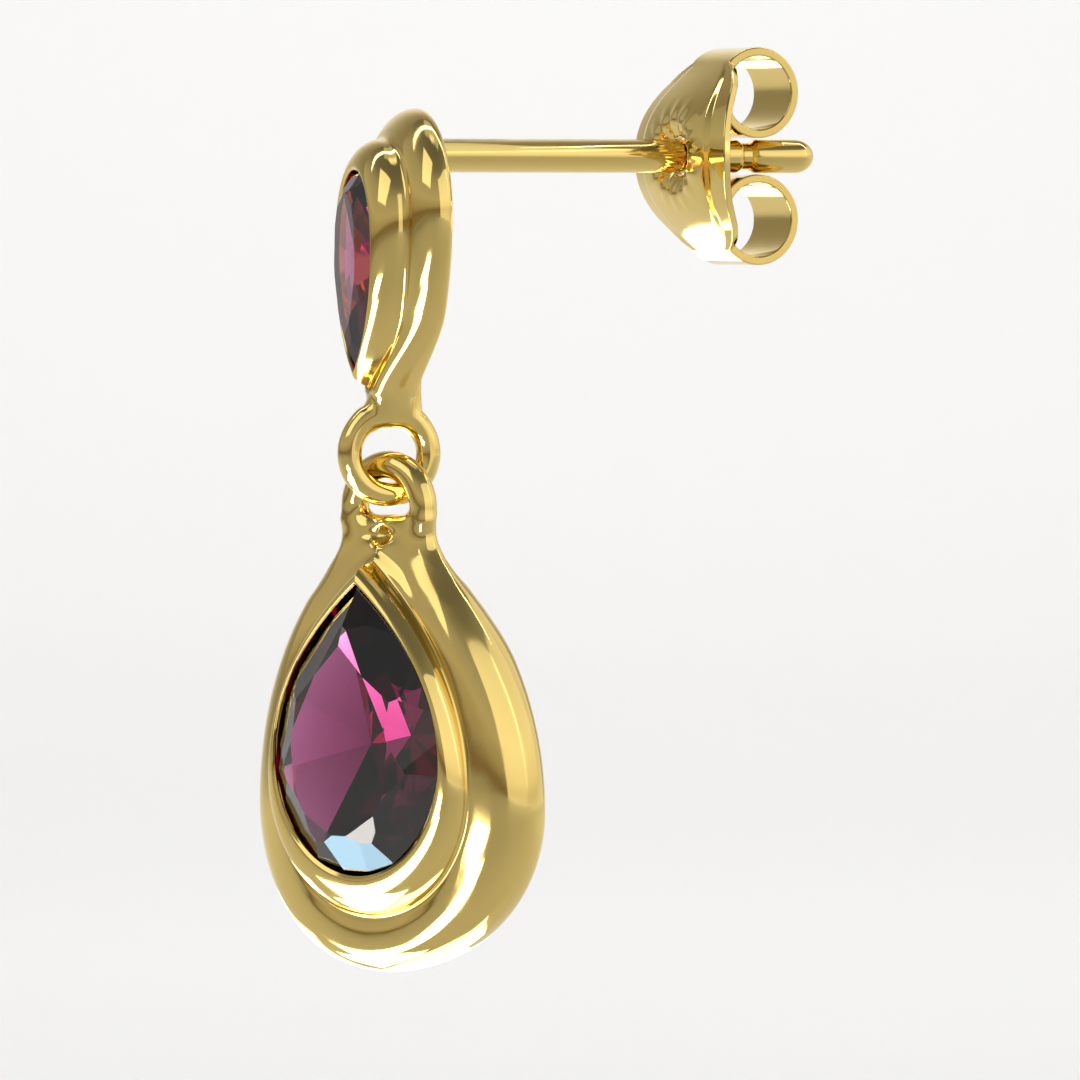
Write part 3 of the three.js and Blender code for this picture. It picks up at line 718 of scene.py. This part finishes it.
def bezier(points, steps=400):
    """Points of a Bezier curve of any degree."""
    t = np.linspace(0, 1, steps + 1)[:, None]
    order = len(points) - 1
    return sum(
        math.comb(order, k) * t**k * (1 - t) ** (order - k) * np.array(p, float)
        for k, p in enumerate(points)
    )


def closed_outline(side, size_of, steps):
    """The side down to the widest point, the round head below it, and their mirror image."""
    half = list(even(side, steps[0]))
    widest = size_of["foot"] + size_of["head"]
    for i in range(1, steps[1] + 1):
        angle = i / steps[1] * math.pi / 2
        half.append(
            (
                size_of["half_width"] * math.cos(angle),
                widest - size_of["head"] * math.sin(angle),
            )
        )
    mirrored = [(-x, z) for x, z in half[1:-1]][::-1]
    return np.array(half + mirrored)


def pear_outline(size_of, steps):
    """Pear outline, tip up."""
    tip, half_width = size_of["tip"], size_of["half_width"]
    widest = size_of["foot"] + size_of["head"]
    handle = tip - half_width / math.tan(math.radians(51))
    handle = max(handle, widest + (tip - widest) * 0.1)
    side = bezier([(0, tip), (half_width, handle), (half_width, widest)])
    return closed_outline(side, size_of, steps)


def rim_outline(size_of, neck_half, steps):
    """Rim outline: a round head whose flanks sweep up into a domed neck."""
    top, half_width = size_of["tip"], size_of["half_width"]
    widest = size_of["foot"] + size_of["head"]
    flank = top - widest
    shoulder = top - neck_half * 0.35
    dome = bezier([(0, top), (neck_half, top), (neck_half, shoulder)])
    sweep = bezier(
        [
            (neck_half, shoulder),
            (neck_half, shoulder - flank * 0.1),
            (half_width, widest + flank * 0.57),
            (half_width, widest),
        ]
    )
    return closed_outline(np.concatenate([dome, sweep[1:]]), size_of, steps)


def setting_sizes(s):
    """Heights and half widths of a setting's outlines, from the stone outwards."""
    head = s.stone_length * HEAD_SHARE

    def around(tip, foot, half_width, head_height):
        return {"tip": tip, "foot": foot, "half_width": half_width, "head": head_height}

    def grown(of, by, by_tip=None):
        tip = of["tip"] + (by if by_tip is None else by_tip)
        return around(tip, of["foot"] - by, of["half_width"] + by, of["head"] + by)

    stone = around(s.stone_length - head, -head, s.stone_width / 2, head)
    opening = grown(stone, -STONE_COVER)
    half_width = opening["half_width"] + s.bezel_side
    tip, foot = opening["tip"] + s.bezel_tip, opening["foot"] - s.bezel_foot
    groove = around(tip, foot, half_width, half_width * GROOVE_ROUND)
    half_width += s.rim_side
    tip, foot = tip + s.rim_tip, foot - s.rim_foot
    rim = around(tip, foot, half_width, half_width * RIM_ROUND)
    return {
        "gallery": grown(stone, -GALLERY_INSET, -GALLERY_TIP_INSET),
        "pocket": grown(stone, STONE_PLAY),
        "opening": opening,
        "groove": groove,
        "rim": rim,
        "stone": stone,
    }


def smooth_rows(rows, scale, per_step):
    """A section's rows with smooth rows between them, none beyond its neighbours."""
    rows = np.array(rows, float)
    gaps = np.hypot(np.diff(rows[:, 0]) * scale[0], np.diff(rows[:, 1]) * scale[1])
    run = np.concatenate([[0], np.cumsum(gaps)])
    slopes = np.diff(rows, axis=0) / gaps[:, None]
    tangents = np.zeros_like(rows)
    for i in range(1, len(rows) - 1):
        a, b = slopes[i - 1], slopes[i]
        same = a * b > 0
        wa, wb = gaps[i - 1] + 2 * gaps[i], 2 * gaps[i - 1] + gaps[i]
        safe_a, safe_b = np.where(same, a, 1), np.where(same, b, 1)
        tangents[i] = np.where(same, (wa + wb) / (wb / safe_a + wa / safe_b), 0)
    tangents[0], tangents[-1] = slopes[0], slopes[-1]
    fine = []
    for i, gap in enumerate(gaps):
        for step in range(per_step):
            t = step / per_step
            fine.append(
                rows[i] * (2 * t**3 - 3 * t**2 + 1)
                + tangents[i] * gap * (t**3 - 2 * t**2 + t)
                + rows[i + 1] * (3 * t**2 - 2 * t**3)
                + tangents[i + 1] * gap * (t**3 - t**2)
            )
    fine.append(rows[-1])
    return np.array(fine)


def build_setting(name, s, section, tree, place, turn, material, dent):
    """One rolled setting with its bezel, groove, rim, neck and gallery."""
    sizes = setting_sizes(s)
    kinds = ("gallery", "pocket", "opening", "groove")
    outlines = [pear_outline(sizes[kind], OUTLINE_STEPS) for kind in kinds]
    outlines.append(rim_outline(sizes["rim"], s.neck_width / 2, OUTLINE_STEPS))
    seat = GIRDLE_TOP + GIRDLE + STONE_PLAY
    seat_drop = s.pavilion * GALLERY_INSET / sizes["stone"]["half_width"] * 1.25
    inside = [
        (0, 1),
        (0, (seat + seat_drop) / s.depth),
        (1, seat / s.depth),
        (1, (GIRDLE_TOP - STONE_PLAY) / s.depth),
        (2, (GIRDLE_TOP - 3 * STONE_PLAY) / s.depth),
    ]
    outside = smooth_rows(section, (0.8 * MM, s.depth), 6)
    rows = [(a, d, 0, 0) for a, d in inside]
    rows += [(a + 2, d, e, n) for a, d, e, n in outside]
    points = [(x, 0, z) for line in outlines for x, z in line]
    neck = np.zeros(len(points) + len(rows))
    neck[len(points) :] = [r[3] for r in rows]
    base = base_mesh(name, points + [r[:3] for r in rows], attributes={"neck": neck})
    rim = sizes["rim"]
    widest = rim["foot"] + rim["head"]
    return grow(
        name,
        base,
        tree,
        {
            "Outline Points": len(outlines[0]),
            "Section Rows": len(rows),
            "Depth": s.depth,
            "Rim Advance": s.rim_advance,
            "Widest Height": widest,
            "Tip Rise": rim["tip"] - widest,
            "Foot Drop": rim["head"],
            "Neck Front": s.neck_depth - s.neck_thickness / 2,
            "Neck Back": s.neck_depth + s.neck_thickness / 2,
            "Dent Height": rim["tip"] - DENT_DROP,
            "Dent Depth": dent,
            "Dent Radius": DENT_RADIUS,
            "Place": place,
            "Turn": turn,
            "Material": material,
        },
    )


def build_wire(name, points, radii, sides, tree, material, looped=False):
    """One wire along points, as thick as the radii say."""
    edges = [(i, i + 1) for i in range(len(points) - 1)]
    if looped:
        edges.append((len(points) - 1, 0))
    base = base_mesh(name, points, edges, attributes={"thick": radii})
    return grow(name, base, tree, {"Sides": sides, "Material": material})


# Where the parts lie


def layout(props):
    """Places that the parts share, from the same sizes as the CAD part."""
    drop, stud, links = props.drop, props.stud, props.links
    stud_sizes, drop_sizes = setting_sizes(stud), setting_sizes(drop)
    centre_z = stud.post_below_top + stud_sizes["rim"]["foot"]
    tip_z = centre_z - stud_sizes["rim"]["tip"]
    ring_z = tip_z + links.ring_sink - links.ring_radius - links.ring_wire / 2
    ring_y = stud.neck_depth - stud.depth
    hinge_z = ring_z - links.ring_radius + links.ring_wire / 2 + links.clearance
    hinge_z += links.bail_wire / 2
    drop_top = ring_z - links.ring_radius - links.ring_wire / 2 - links.ring_to_drop
    stud_place = Matrix.Translation((0, -stud.depth, centre_z))
    hang_place = Matrix.Translation((0, ring_y, hinge_z))
    drop_z = drop_top - drop_sizes["rim"]["tip"] - hinge_z
    return {
        "stud": stud_place @ Matrix.Rotation(math.pi, 4, "Y"),
        "hang": hang_place @ Matrix.Rotation(drop.yaw, 4, "Z"),
        "drop_shift": Vector((0, -drop.neck_depth, drop_z)),
        "ring": Vector((0, ring_y, ring_z)),
        "drop_top": drop_top - hinge_z,
    }


def placed(matrix):
    """The translation and turn of a matrix, as two lists."""
    return list(matrix.to_translation()), list(matrix.to_euler())


# Stones


def cut_stone(name, s, sizes, matrix, material):
    """A pear-cut stone, cut from a pear-shaped block by one plane for each facet."""
    table_y = GIRDLE_TOP - s.crown
    culet_y = GIRDLE_TOP + GIRDLE + s.pavilion
    outline = pear_outline(sizes["stone"], STONE_STEPS)
    total = len(outline)
    block = bmesh.new()
    top = [block.verts.new((x, table_y, z)) for x, z in outline]
    bottom = [block.verts.new((x, culet_y, z)) for x, z in outline]
    block.faces.new(top)
    block.faces.new(bottom[::-1])
    for i in range(total):
        j = (i + 1) % total
        block.faces.new((top[j], top[i], bottom[i], bottom[j]))
    bmesh.ops.recalc_face_normals(block, faces=block.faces)

    middle = Vector((0, 0, (sizes["stone"]["tip"] + sizes["stone"]["foot"]) * 0.25))
    inset = s.stone_width * TABLE_INSET

    def on_outline(at, height):
        """A place on the outline, and the outline's direction there."""
        i = int(round(at * total)) % total
        before, after = outline[(i - 1) % total], outline[(i + 1) % total]
        tangent = Vector((after[0] - before[0], 0, after[1] - before[1])).normalized()
        return Vector((outline[i][0], height, outline[i][1])), tangent

    def cut_off(point, normal):
        """Cuts away what lies beyond a plane, and closes the cut with one facet."""
        cut = bmesh.ops.bisect_plane(
            block,
            geom=block.verts[:] + block.edges[:] + block.faces[:],
            plane_co=point,
            plane_no=normal,
            dist=1e-8,
            clear_outer=True,
        )
        rim = [e for e in cut["geom_cut"] if isinstance(e, bmesh.types.BMEdge)]
        if rim:
            bmesh.ops.edgenet_fill(block, edges=rim)

    def facet(at, height, inner):
        """Cuts along the outline's tangent at a place, down to an inner point."""
        edge, tangent = on_outline(at, height)
        goal = inner(edge, tangent)
        normal = tangent.cross(goal - edge).normalized()
        if normal.dot(edge - Vector((middle.x, height, middle.z))) < 0:
            normal.negate()
        cut_off(edge, normal)

    def inwards(edge, tangent):
        side = Vector((-tangent.z, 0, tangent.x))
        return side if side.dot(middle - Vector((edge.x, 0, edge.z))) > 0 else -side

    def to_table(share_in, share_up):
        def inner(edge, tangent):
            goal = edge + inwards(edge, tangent) * inset * share_in
            goal.y = GIRDLE_TOP - s.crown * share_up
            return goal

        return inner

    def to_culet(share_in, share_down):
        def inner(edge, tangent):
            goal = edge.lerp(middle, share_in)
            goal.y = GIRDLE_TOP + GIRDLE + s.pavilion * share_down
            return goal

        return inner

    def star(at):
        """Cuts a star facet between two mains, from the table's edge outwards."""
        edge, tangent = on_outline(at, 0)
        out = -inwards(edge, tangent)
        point = edge - out * inset * STAR_REACH
        point.y = table_y
        cut_off(point, (out * STAR_SLOPE + Vector((0, -1, 0))).normalized())

    for k in range(MAINS):
        facet(k / MAINS, GIRDLE_TOP, to_table(*CROWN_MAIN))
        facet(k / MAINS, GIRDLE_TOP + GIRDLE, to_culet(*PAVILION_MAIN))
    for k in range(2 * MAINS):
        at = (k + 0.5) / (2 * MAINS)
        facet(at, GIRDLE_TOP, to_table(*CROWN_BREAK))
        facet(at, GIRDLE_TOP + GIRDLE, to_culet(*PAVILION_BREAK))
    for k in range(MAINS):
        star((k + 0.5) / MAINS)
    bmesh.ops.remove_doubles(block, verts=block.verts, dist=1e-7)
    bmesh.ops.dissolve_degenerate(block, edges=block.edges, dist=1e-7)
    bmesh.ops.recalc_face_normals(block, faces=block.faces)
    block.transform(matrix)
    mesh = bpy.data.meshes.new(name)
    block.to_mesh(mesh)
    block.free()
    mesh.materials.append(material)
    stone = bpy.data.objects.new(name, outward(mesh))
    bpy.context.scene.collection.objects.link(stone)
    return stone


# Materials


def fill(node, values):
    """Sets a node's own input values by name."""
    for key, value in values.items():
        node.inputs[key].default_value = value
    return node


def new_material(name, values):
    """A material whose shader has these values."""
    material = bpy.data.materials.new(name)
    material.use_nodes = True
    fill(material.node_tree.nodes["Principled BSDF"], values)
    return material


def gold_material():
    """Highly polished yellow gold with faint polishing marks."""
    material = new_material("polished_gold", {"Base Color": (0.8, 0.6, 0.2, 1), "Metallic": 1})
    nodes, links = material.node_tree.nodes, material.node_tree.links
    shader = nodes["Principled BSDF"]
    place = nodes.new("ShaderNodeTexCoord")
    grain = fill(nodes.new("ShaderNodeTexNoise"), {"Scale": 900, "Detail": 3})
    links.new(place.outputs["Object"], grain.inputs["Vector"])
    spread = {"From Min": 0.35, "From Max": 0.7, "To Min": 0.05, "To Max": 0.13}
    polish = fill(nodes.new("ShaderNodeMapRange"), spread)
    links.new(grain.outputs["Fac"], polish.inputs["Value"])
    links.new(polish.outputs["Result"], shader.inputs["Roughness"])
    marks = fill(nodes.new("ShaderNodeTexNoise"), {"Scale": 500, "Detail": 2})
    links.new(place.outputs["Object"], marks.inputs["Vector"])
    bump = fill(nodes.new("ShaderNodeBump"), {"Strength": 0.4, "Distance": 0.04 * MM})
    links.new(marks.outputs["Fac"], bump.inputs["Height"])
    links.new(bump.outputs["Normal"], shader.inputs["Normal"])
    return material


def stone_material():
    """Clear red-purple stone, coloured by the way that light has to go through it."""
    glass = {"Base Color": (1, 0.8, 0.93, 1), "Roughness": 0, "IOR": 1.86}
    material = new_material("clear_stone", {**glass, "Transmission Weight": 1})
    nodes, links = material.node_tree.nodes, material.node_tree.links
    depth = nodes.new("ShaderNodeVolumeAbsorption")
    fill(depth, {"Color": (0.62, 0.05, 0.42, 1), "Density": 1350})
    links.new(depth.outputs["Volume"], nodes["Material Output"].inputs["Volume"])
    return material


def pale_material():
    """Plain pale floor."""
    return new_material("floor", {"Base Color": (0.86, 0.86, 0.86, 1), "Roughness": 0.6})


def shared_material(name, make):
    """A material made once and then shared."""
    return bpy.data.materials.get(name) or make()


def shared_tree(name, make):
    """A node tree made once and then shared."""
    return bpy.data.node_groups.get(name) or make()


def settle(piece, body, node):
    """Puts a finished piece on its body, in place of its CAD node."""
    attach(piece, body)
    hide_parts(node)


# Operators


class EARRING_OT_stud(bpy.types.Operator):
    """Builds the stud's setting with its ring and post"""

    bl_idname = "earring.stud"
    bl_label = "Stud Setting"

    def execute(self, context):
        props = context.scene.earring
        stud, links = props.stud, props.links
        lay = layout(props)
        gold = shared_material("polished_gold", gold_material)
        sweep = shared_tree("Setting sweep", setting_tree)
        wire = shared_tree("Wire sweep", wire_tree)
        place, turn = placed(lay["stud"])
        body = build_setting("stud_body", stud, STUD_SECTION, sweep, place, turn, gold, 0.0)

        angles = np.linspace(0, 2 * math.pi, 96, endpoint=False)
        rays = [Vector((0, math.sin(a), math.cos(a))) for a in angles]
        circle = [lay["ring"] + ray * links.ring_radius for ray in rays]
        swell = 1 + RING_SWELL * np.maximum(np.cos(angles), 0) ** RING_SWELL_POWER
        thick = links.ring_wire / 2 * swell
        ring = build_wire("stud_ring", circle, thick, links.sides, wire, gold, True)

        radius = stud.post_diameter / 2
        notch_y = props.back.from_stud + props.back.curl_behind * math.cos(props.back.yaw)
        line = [(y * MM, radius * wide) for y, wide in POST_FOOT]
        line += [
            (notch_y + along * stud.notch_width, radius - deep * stud.notch_depth)
            for along, deep in NOTCH
        ]
        dome = radius * POST_DOME
        line += [
            (stud.post_length - dome * (1 - math.sin(a)), radius * math.cos(a))
            for a in np.linspace(0, math.pi / 2 * 0.99, 12)
        ]
        points = [(0, y, 0) for y, _ in line]
        post = build_wire("stud_post", points, [r for _, r in line], links.sides, wire, gold)
        piece = weld("stud_gold", [body, ring, post], 0.3 * MM)
        settle(piece, "stud", "stud_setting")
        return {"FINISHED"}


class EARRING_OT_drop(bpy.types.Operator):
    """Builds the drop's setting with its bail"""

    bl_idname = "earring.drop"
    bl_label = "Drop Setting"

    def execute(self, context):
        props = context.scene.earring
        drop, links = props.drop, props.links
        lay = layout(props)
        gold = shared_material("polished_gold", gold_material)
        sweep = shared_tree("Setting sweep", setting_tree)
        wire = shared_tree("Wire sweep", wire_tree)
        place, turn = placed(lay["hang"] @ Matrix.Translation(lay["drop_shift"]))
        body = build_setting(
            "drop_body", drop, DROP_SECTION, sweep, place, turn, gold, DROP_DENT
        )

        half = links.bail_span / 2
        top = lay["drop_top"]
        arch = -half
        rim = setting_sizes(drop)["rim"]
        flank = rim_outline(rim, drop.neck_width / 2, OUTLINE_STEPS)[: OUTLINE_STEPS[0] + 1]
        line = []
        for t in np.linspace(0, 1, 49)[:-1]:
            z = top - links.bail_root + (arch - top + links.bail_root) * t
            below = max((top - z) / links.bail_root, 0)
            side = np.interp(rim["tip"] - max(top - z, 0), flank[::-1, 1], flank[::-1, 0])
            side = half + max(side - links.bail_foot / 2 - half, 0)
            swell = ease(min(max((arch - z) / (arch - top + 0.4 * MM), 0), 1))
            thick = links.bail_wire + (links.bail_foot - links.bail_wire) * swell
            line.append((-side, z, thick / 2 * (1 - LEG_TAPER * below**2)))
        feet = list(line)
        for a in np.linspace(math.pi, 0, 49):
            line.append((half * math.cos(a), arch + half * math.sin(a), links.bail_wire / 2))
        line += [(-x, z, r) for x, z, r in feet[::-1]]
        points = [lay["hang"] @ Vector((x, 0, z)) for x, z, _ in line]
        bail = build_wire("drop_bail", points, [r for _, _, r in line], links.sides, wire, gold)
        piece = weld("drop_gold", [body, bail], 0.6 * MM)
        settle(piece, "drop", "drop_setting")
        return {"FINISHED"}


class EARRING_OT_stones(bpy.types.Operator):
    """Cuts both pear-shaped stones"""

    bl_idname = "earring.stones"
    bl_label = "Stones"

    def execute(self, context):
        props = context.scene.earring
        lay = layout(props)
        red = shared_material("clear_stone", stone_material)
        small = cut_stone("stud_gem", props.stud, setting_sizes(props.stud), lay["stud"], red)
        settle(small, "stud", "stud_stone")
        hang = lay["hang"] @ Matrix.Translation(lay["drop_shift"])
        large = cut_stone("drop_gem", props.drop, setting_sizes(props.drop), hang, red)
        settle(large, "drop", "drop_stone")
        return {"FINISHED"}


class EARRING_OT_back(bpy.types.Operator):
    """Presses the butterfly back"""

    bl_idname = "earring.back"
    bl_label = "Butterfly Back"

    def execute(self, context):
        props = context.scene.earring
        back, stud = props.back, props.stud
        gold = shared_material("polished_gold", gold_material)
        press = shared_tree("Back press", press_tree)
        post = stud.post_diameter / 2
        curl_z = post + back.grip + back.sheet / 2 + back.curl_radius
        rolled = np.linspace(0, 1, CURL_STEPS + 1)
        turns = CURL_START - rolled * back.curl_turn
        inward = 1 - back.curl_tighten * np.clip((rolled - 0.8) / 0.2, 0, 1) ** 2
        curl_y = back.curl_behind + back.curl_radius * inward * np.cos(turns)
        curl = np.stack([curl_y, curl_z + back.curl_radius * inward * np.sin(turns)], axis=1)
        joint, curl = curl[0], curl[1:]
        heading = np.array([math.sin(CURL_START), -math.cos(CURL_START)])
        ahead = joint - heading * joint[1] * 0.42
        plate_line = even(bezier([(0, 0), (0, joint[1] * 0.5), ahead, joint]), PLATE_STEPS)
        upper = np.concatenate([plate_line, curl])
        steps = np.arange(len(upper)) / (len(plate_line) - 1)
        lower = upper[1:][::-1] * (1, -1)
        line = np.concatenate([lower, upper])
        from_hole = np.concatenate([steps[1:][::-1], steps])
        columns = PLATE_COLUMNS
        points, plate, edge = [], [], []
        for (y, z), step in zip(line, from_hole):
            on_plate = min(step, 1)
            height = min(abs(z) / joint[1], 1)
            full = (1 - height**2) ** back.fullness if step < 1 else 0
            half = back.curl_half_width + (back.half_width - back.curl_half_width) * full
            for j in range(columns + 1):
                across = 2 * j / columns - 1
                x = across * half
                dish = back.dish * across**2 * (1 - on_plate**2)
                away = math.hypot(x, z if step < 1 else back.dimple_radius)
                t = (away - post / 2) / (back.dimple_radius - post / 2)
                dimple = back.dimple_depth * (1 - ease(min(max(t, 0), 1)))
                points.append((x, y + dish + dimple, z))
                plate.append(1 - max(0, min(1, (step - 0.75) / 0.25)))
                edge.append(abs(across))
        faces = []
        for i in range(len(line) - 1):
            for j in range(columns):
                a = i * (columns + 1) + j
                faces.append((a, a + 1, a + columns + 2, a + columns + 1))
        base = base_mesh("butterfly", points, (), faces, {"plate": plate, "edge": edge})
        piece = grow(
            "butterfly_gold",
            base,
            press,
            {
                "Thickness": back.sheet,
                "Rays": back.rays,
                "Ray Height": back.ray_height,
                "Ray Start": post,
                "Ray End": back.dimple_radius * RAY_REACH,
                "Crease Depth": back.crease_depth,
                "Hole Radius": post + back.hole_play,
                "Hole Length": 2 * (back.dimple_depth + 2 * back.sheet),
                "Place": [0, back.from_stud, 0],
                "Turn": [0, 0, back.yaw],
                "Material": gold,
            },
        )
        soften(piece, EDGE_ROUND, math.radians(60))
        settle(piece, "back", "butterfly_back")
        return {"FINISHED"}


class EARRING_OT_stage(bpy.types.Operator):
    """Sets up the floor, the lights and the camera"""

    bl_idname = "earring.stage"
    bl_label = "Stage"

    def execute(self, context):
        scene = context.scene
        stage = scene.earring.stage
        a, e = stage.azimuth, stage.elevation
        towards = Vector((math.sin(a) * math.cos(e), -math.cos(a) * math.cos(e), math.sin(e)))
        right = Vector((math.cos(a), math.sin(a), 0))
        flat = Vector((math.sin(a), -math.cos(a), 0))
        centre = right * LOOK_ASIDE + Vector((0, 0, LOOK_UP))
        low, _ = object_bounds()
        floor_z = low.z - stage.floor_drop

        line = [(-FLOOR_FRONT, 0), (FLOOR_BACK, 0)]
        line += [
            (FLOOR_BACK + COVE * math.sin(t), COVE * (1 - math.cos(t)))
            for t in np.linspace(0, math.pi / 2, 24)[1:]
        ]
        line.append((FLOOR_BACK + COVE, COVE + WALL))
        points, faces = [], []
        for out, up in line:
            for side in (-FLOOR_HALF, FLOOR_HALF):
                points.append(Vector((0, 0, floor_z + up)) - flat * out + right * side)
        for i in range(len(line) - 1):
            faces.append((2 * i, 2 * i + 1, 2 * i + 3, 2 * i + 2))
        mesh = base_mesh("floor", points, (), faces)
        mesh.shade_smooth()
        mesh.materials.append(pale_material())
        floor = bpy.data.objects.new("floor", mesh)
        scene.collection.objects.link(floor)
        floor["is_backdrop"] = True

        world = bpy.data.worlds.new("room")
        world.use_nodes = True
        nodes, links = world.node_tree.nodes, world.node_tree.links
        place = nodes.new("ShaderNodeTexCoord")
        parts = nodes.new("ShaderNodeSeparateXYZ")
        ramp = nodes.new("ShaderNodeValToRGB")
        links.new(place.outputs["Generated"], parts.inputs[0])
        links.new(parts.outputs["Z"], ramp.inputs["Fac"])
        links.new(ramp.outputs["Color"], nodes["Background"].inputs["Color"])
        ramp.color_ramp.elements[0].color = HORIZON
        for at, colour in ROOM:
            stop = ramp.color_ramp.elements.new(at)
            stop.color = (*colour, 1)
        nodes["Background"].inputs["Strength"].default_value = 1.0
        scene.world = world

        def lamp(name, place, turn, sides, watts, colour=(1, 1, 1)):
            light = bpy.data.lights.new(name, "AREA")
            light.shape = "RECTANGLE"
            light.size, light.size_y = sides
            light.energy = watts
            light.color = colour
            item = bpy.data.objects.new(name, light)
            item.location = place
            item.rotation_mode = "QUATERNION"
            item.rotation_quaternion = turn
            item.visible_camera = False
            scene.collection.objects.link(item)

        for name, (out, aside, up), sides, watts, aim in LAMPS:
            goal = Vector((0, 0, aim[1])) + flat * aim[0] if aim else centre
            place = centre + flat * out + right * aside + Vector((0, 0, up))
            lamp(name, place, (goal - place).to_track_quat("-Z", "Y"), sides, watts)
        upwards = Matrix((flat, -right, Vector((0, 0, -1)))).transposed().to_quaternion()
        for name, (out, aside), sides, watts, colour in FLOOR_LAMPS:
            place = centre + flat * out + right * aside
            place.z = floor_z + FLOOR_LAMP_HEIGHT
            lamp(name, place, upwards, sides, watts, colour)

        camera = bpy.data.cameras.new("camera")
        camera.lens = stage.lens
        camera.sensor_width = 36
        camera.clip_start, camera.clip_end = 0.01, 20
        item = bpy.data.objects.new("camera", camera)
        distance = stage.view_height * stage.lens / camera.sensor_width
        item.location = centre + towards * distance
        item.rotation_mode = "QUATERNION"
        item.rotation_quaternion = (-towards).to_track_quat("-Z", "Y")
        scene.collection.objects.link(item)
        scene.camera = item
        scene.view_settings.view_transform = "Standard"
        return {"FINISHED"}


class EARRING_PG_scene(bpy.types.PropertyGroup):
    """All of the earring's sizes."""

    drop: PointerProperty(type=EARRING_PG_drop, name="Drop", description="Drop")
    stud: PointerProperty(type=EARRING_PG_stud, name="Stud", description="Stud")
    links: PointerProperty(type=EARRING_PG_links, name="Links", description="Ring and bail")
    back: PointerProperty(type=EARRING_PG_back, name="Back", description="Butterfly back")
    stage: PointerProperty(type=EARRING_PG_stage, name="Stage", description="Stage")


class EARRING_PT_panel(bpy.types.Panel):
    """Sizes and steps of the earring"""

    bl_idname = "EARRING_PT_panel"
    bl_label = "Drop Earring"
    bl_space_type = "VIEW_3D"
    bl_region_type = "UI"
    bl_category = "Earring"

    def draw(self, context):
        props = context.scene.earring
        for step in STEPS:
            self.layout.operator(step.bl_idname)
        for group in (props.drop, props.stud, props.links, props.back, props.stage):
            box = self.layout.box()
            for name in group.bl_rna.properties.keys():
                if name not in ("rna_type", "name"):
                    box.prop(group, name)


STEPS = (EARRING_OT_stud, EARRING_OT_drop, EARRING_OT_stones, EARRING_OT_back, EARRING_OT_stage)
CLASSES = (
    EARRING_PG_drop,
    EARRING_PG_stud,
    EARRING_PG_links,
    EARRING_PG_back,
    EARRING_PG_stage,
    EARRING_PG_scene,
    *STEPS,
    EARRING_PT_panel,
)


def register():
    """Adds the classes and the scene's property."""
    for cls in CLASSES:
        bpy.utils.register_class(cls)
    bpy.types.Scene.earring = PointerProperty(type=EARRING_PG_scene)


def unregister():
    """Removes the scene's property and the classes."""
    del bpy.types.Scene.earring
    for cls in reversed(CLASSES):
        bpy.utils.unregister_class(cls)


def main():
    """Builds the earring and its stage."""
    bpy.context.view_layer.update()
    register()
    bpy.ops.earring.stud()
    bpy.ops.earring.drop()
    bpy.ops.earring.stones()
    bpy.ops.earring.back()
    bpy.ops.earring.stage()


if __name__ == "__main__":
    main()
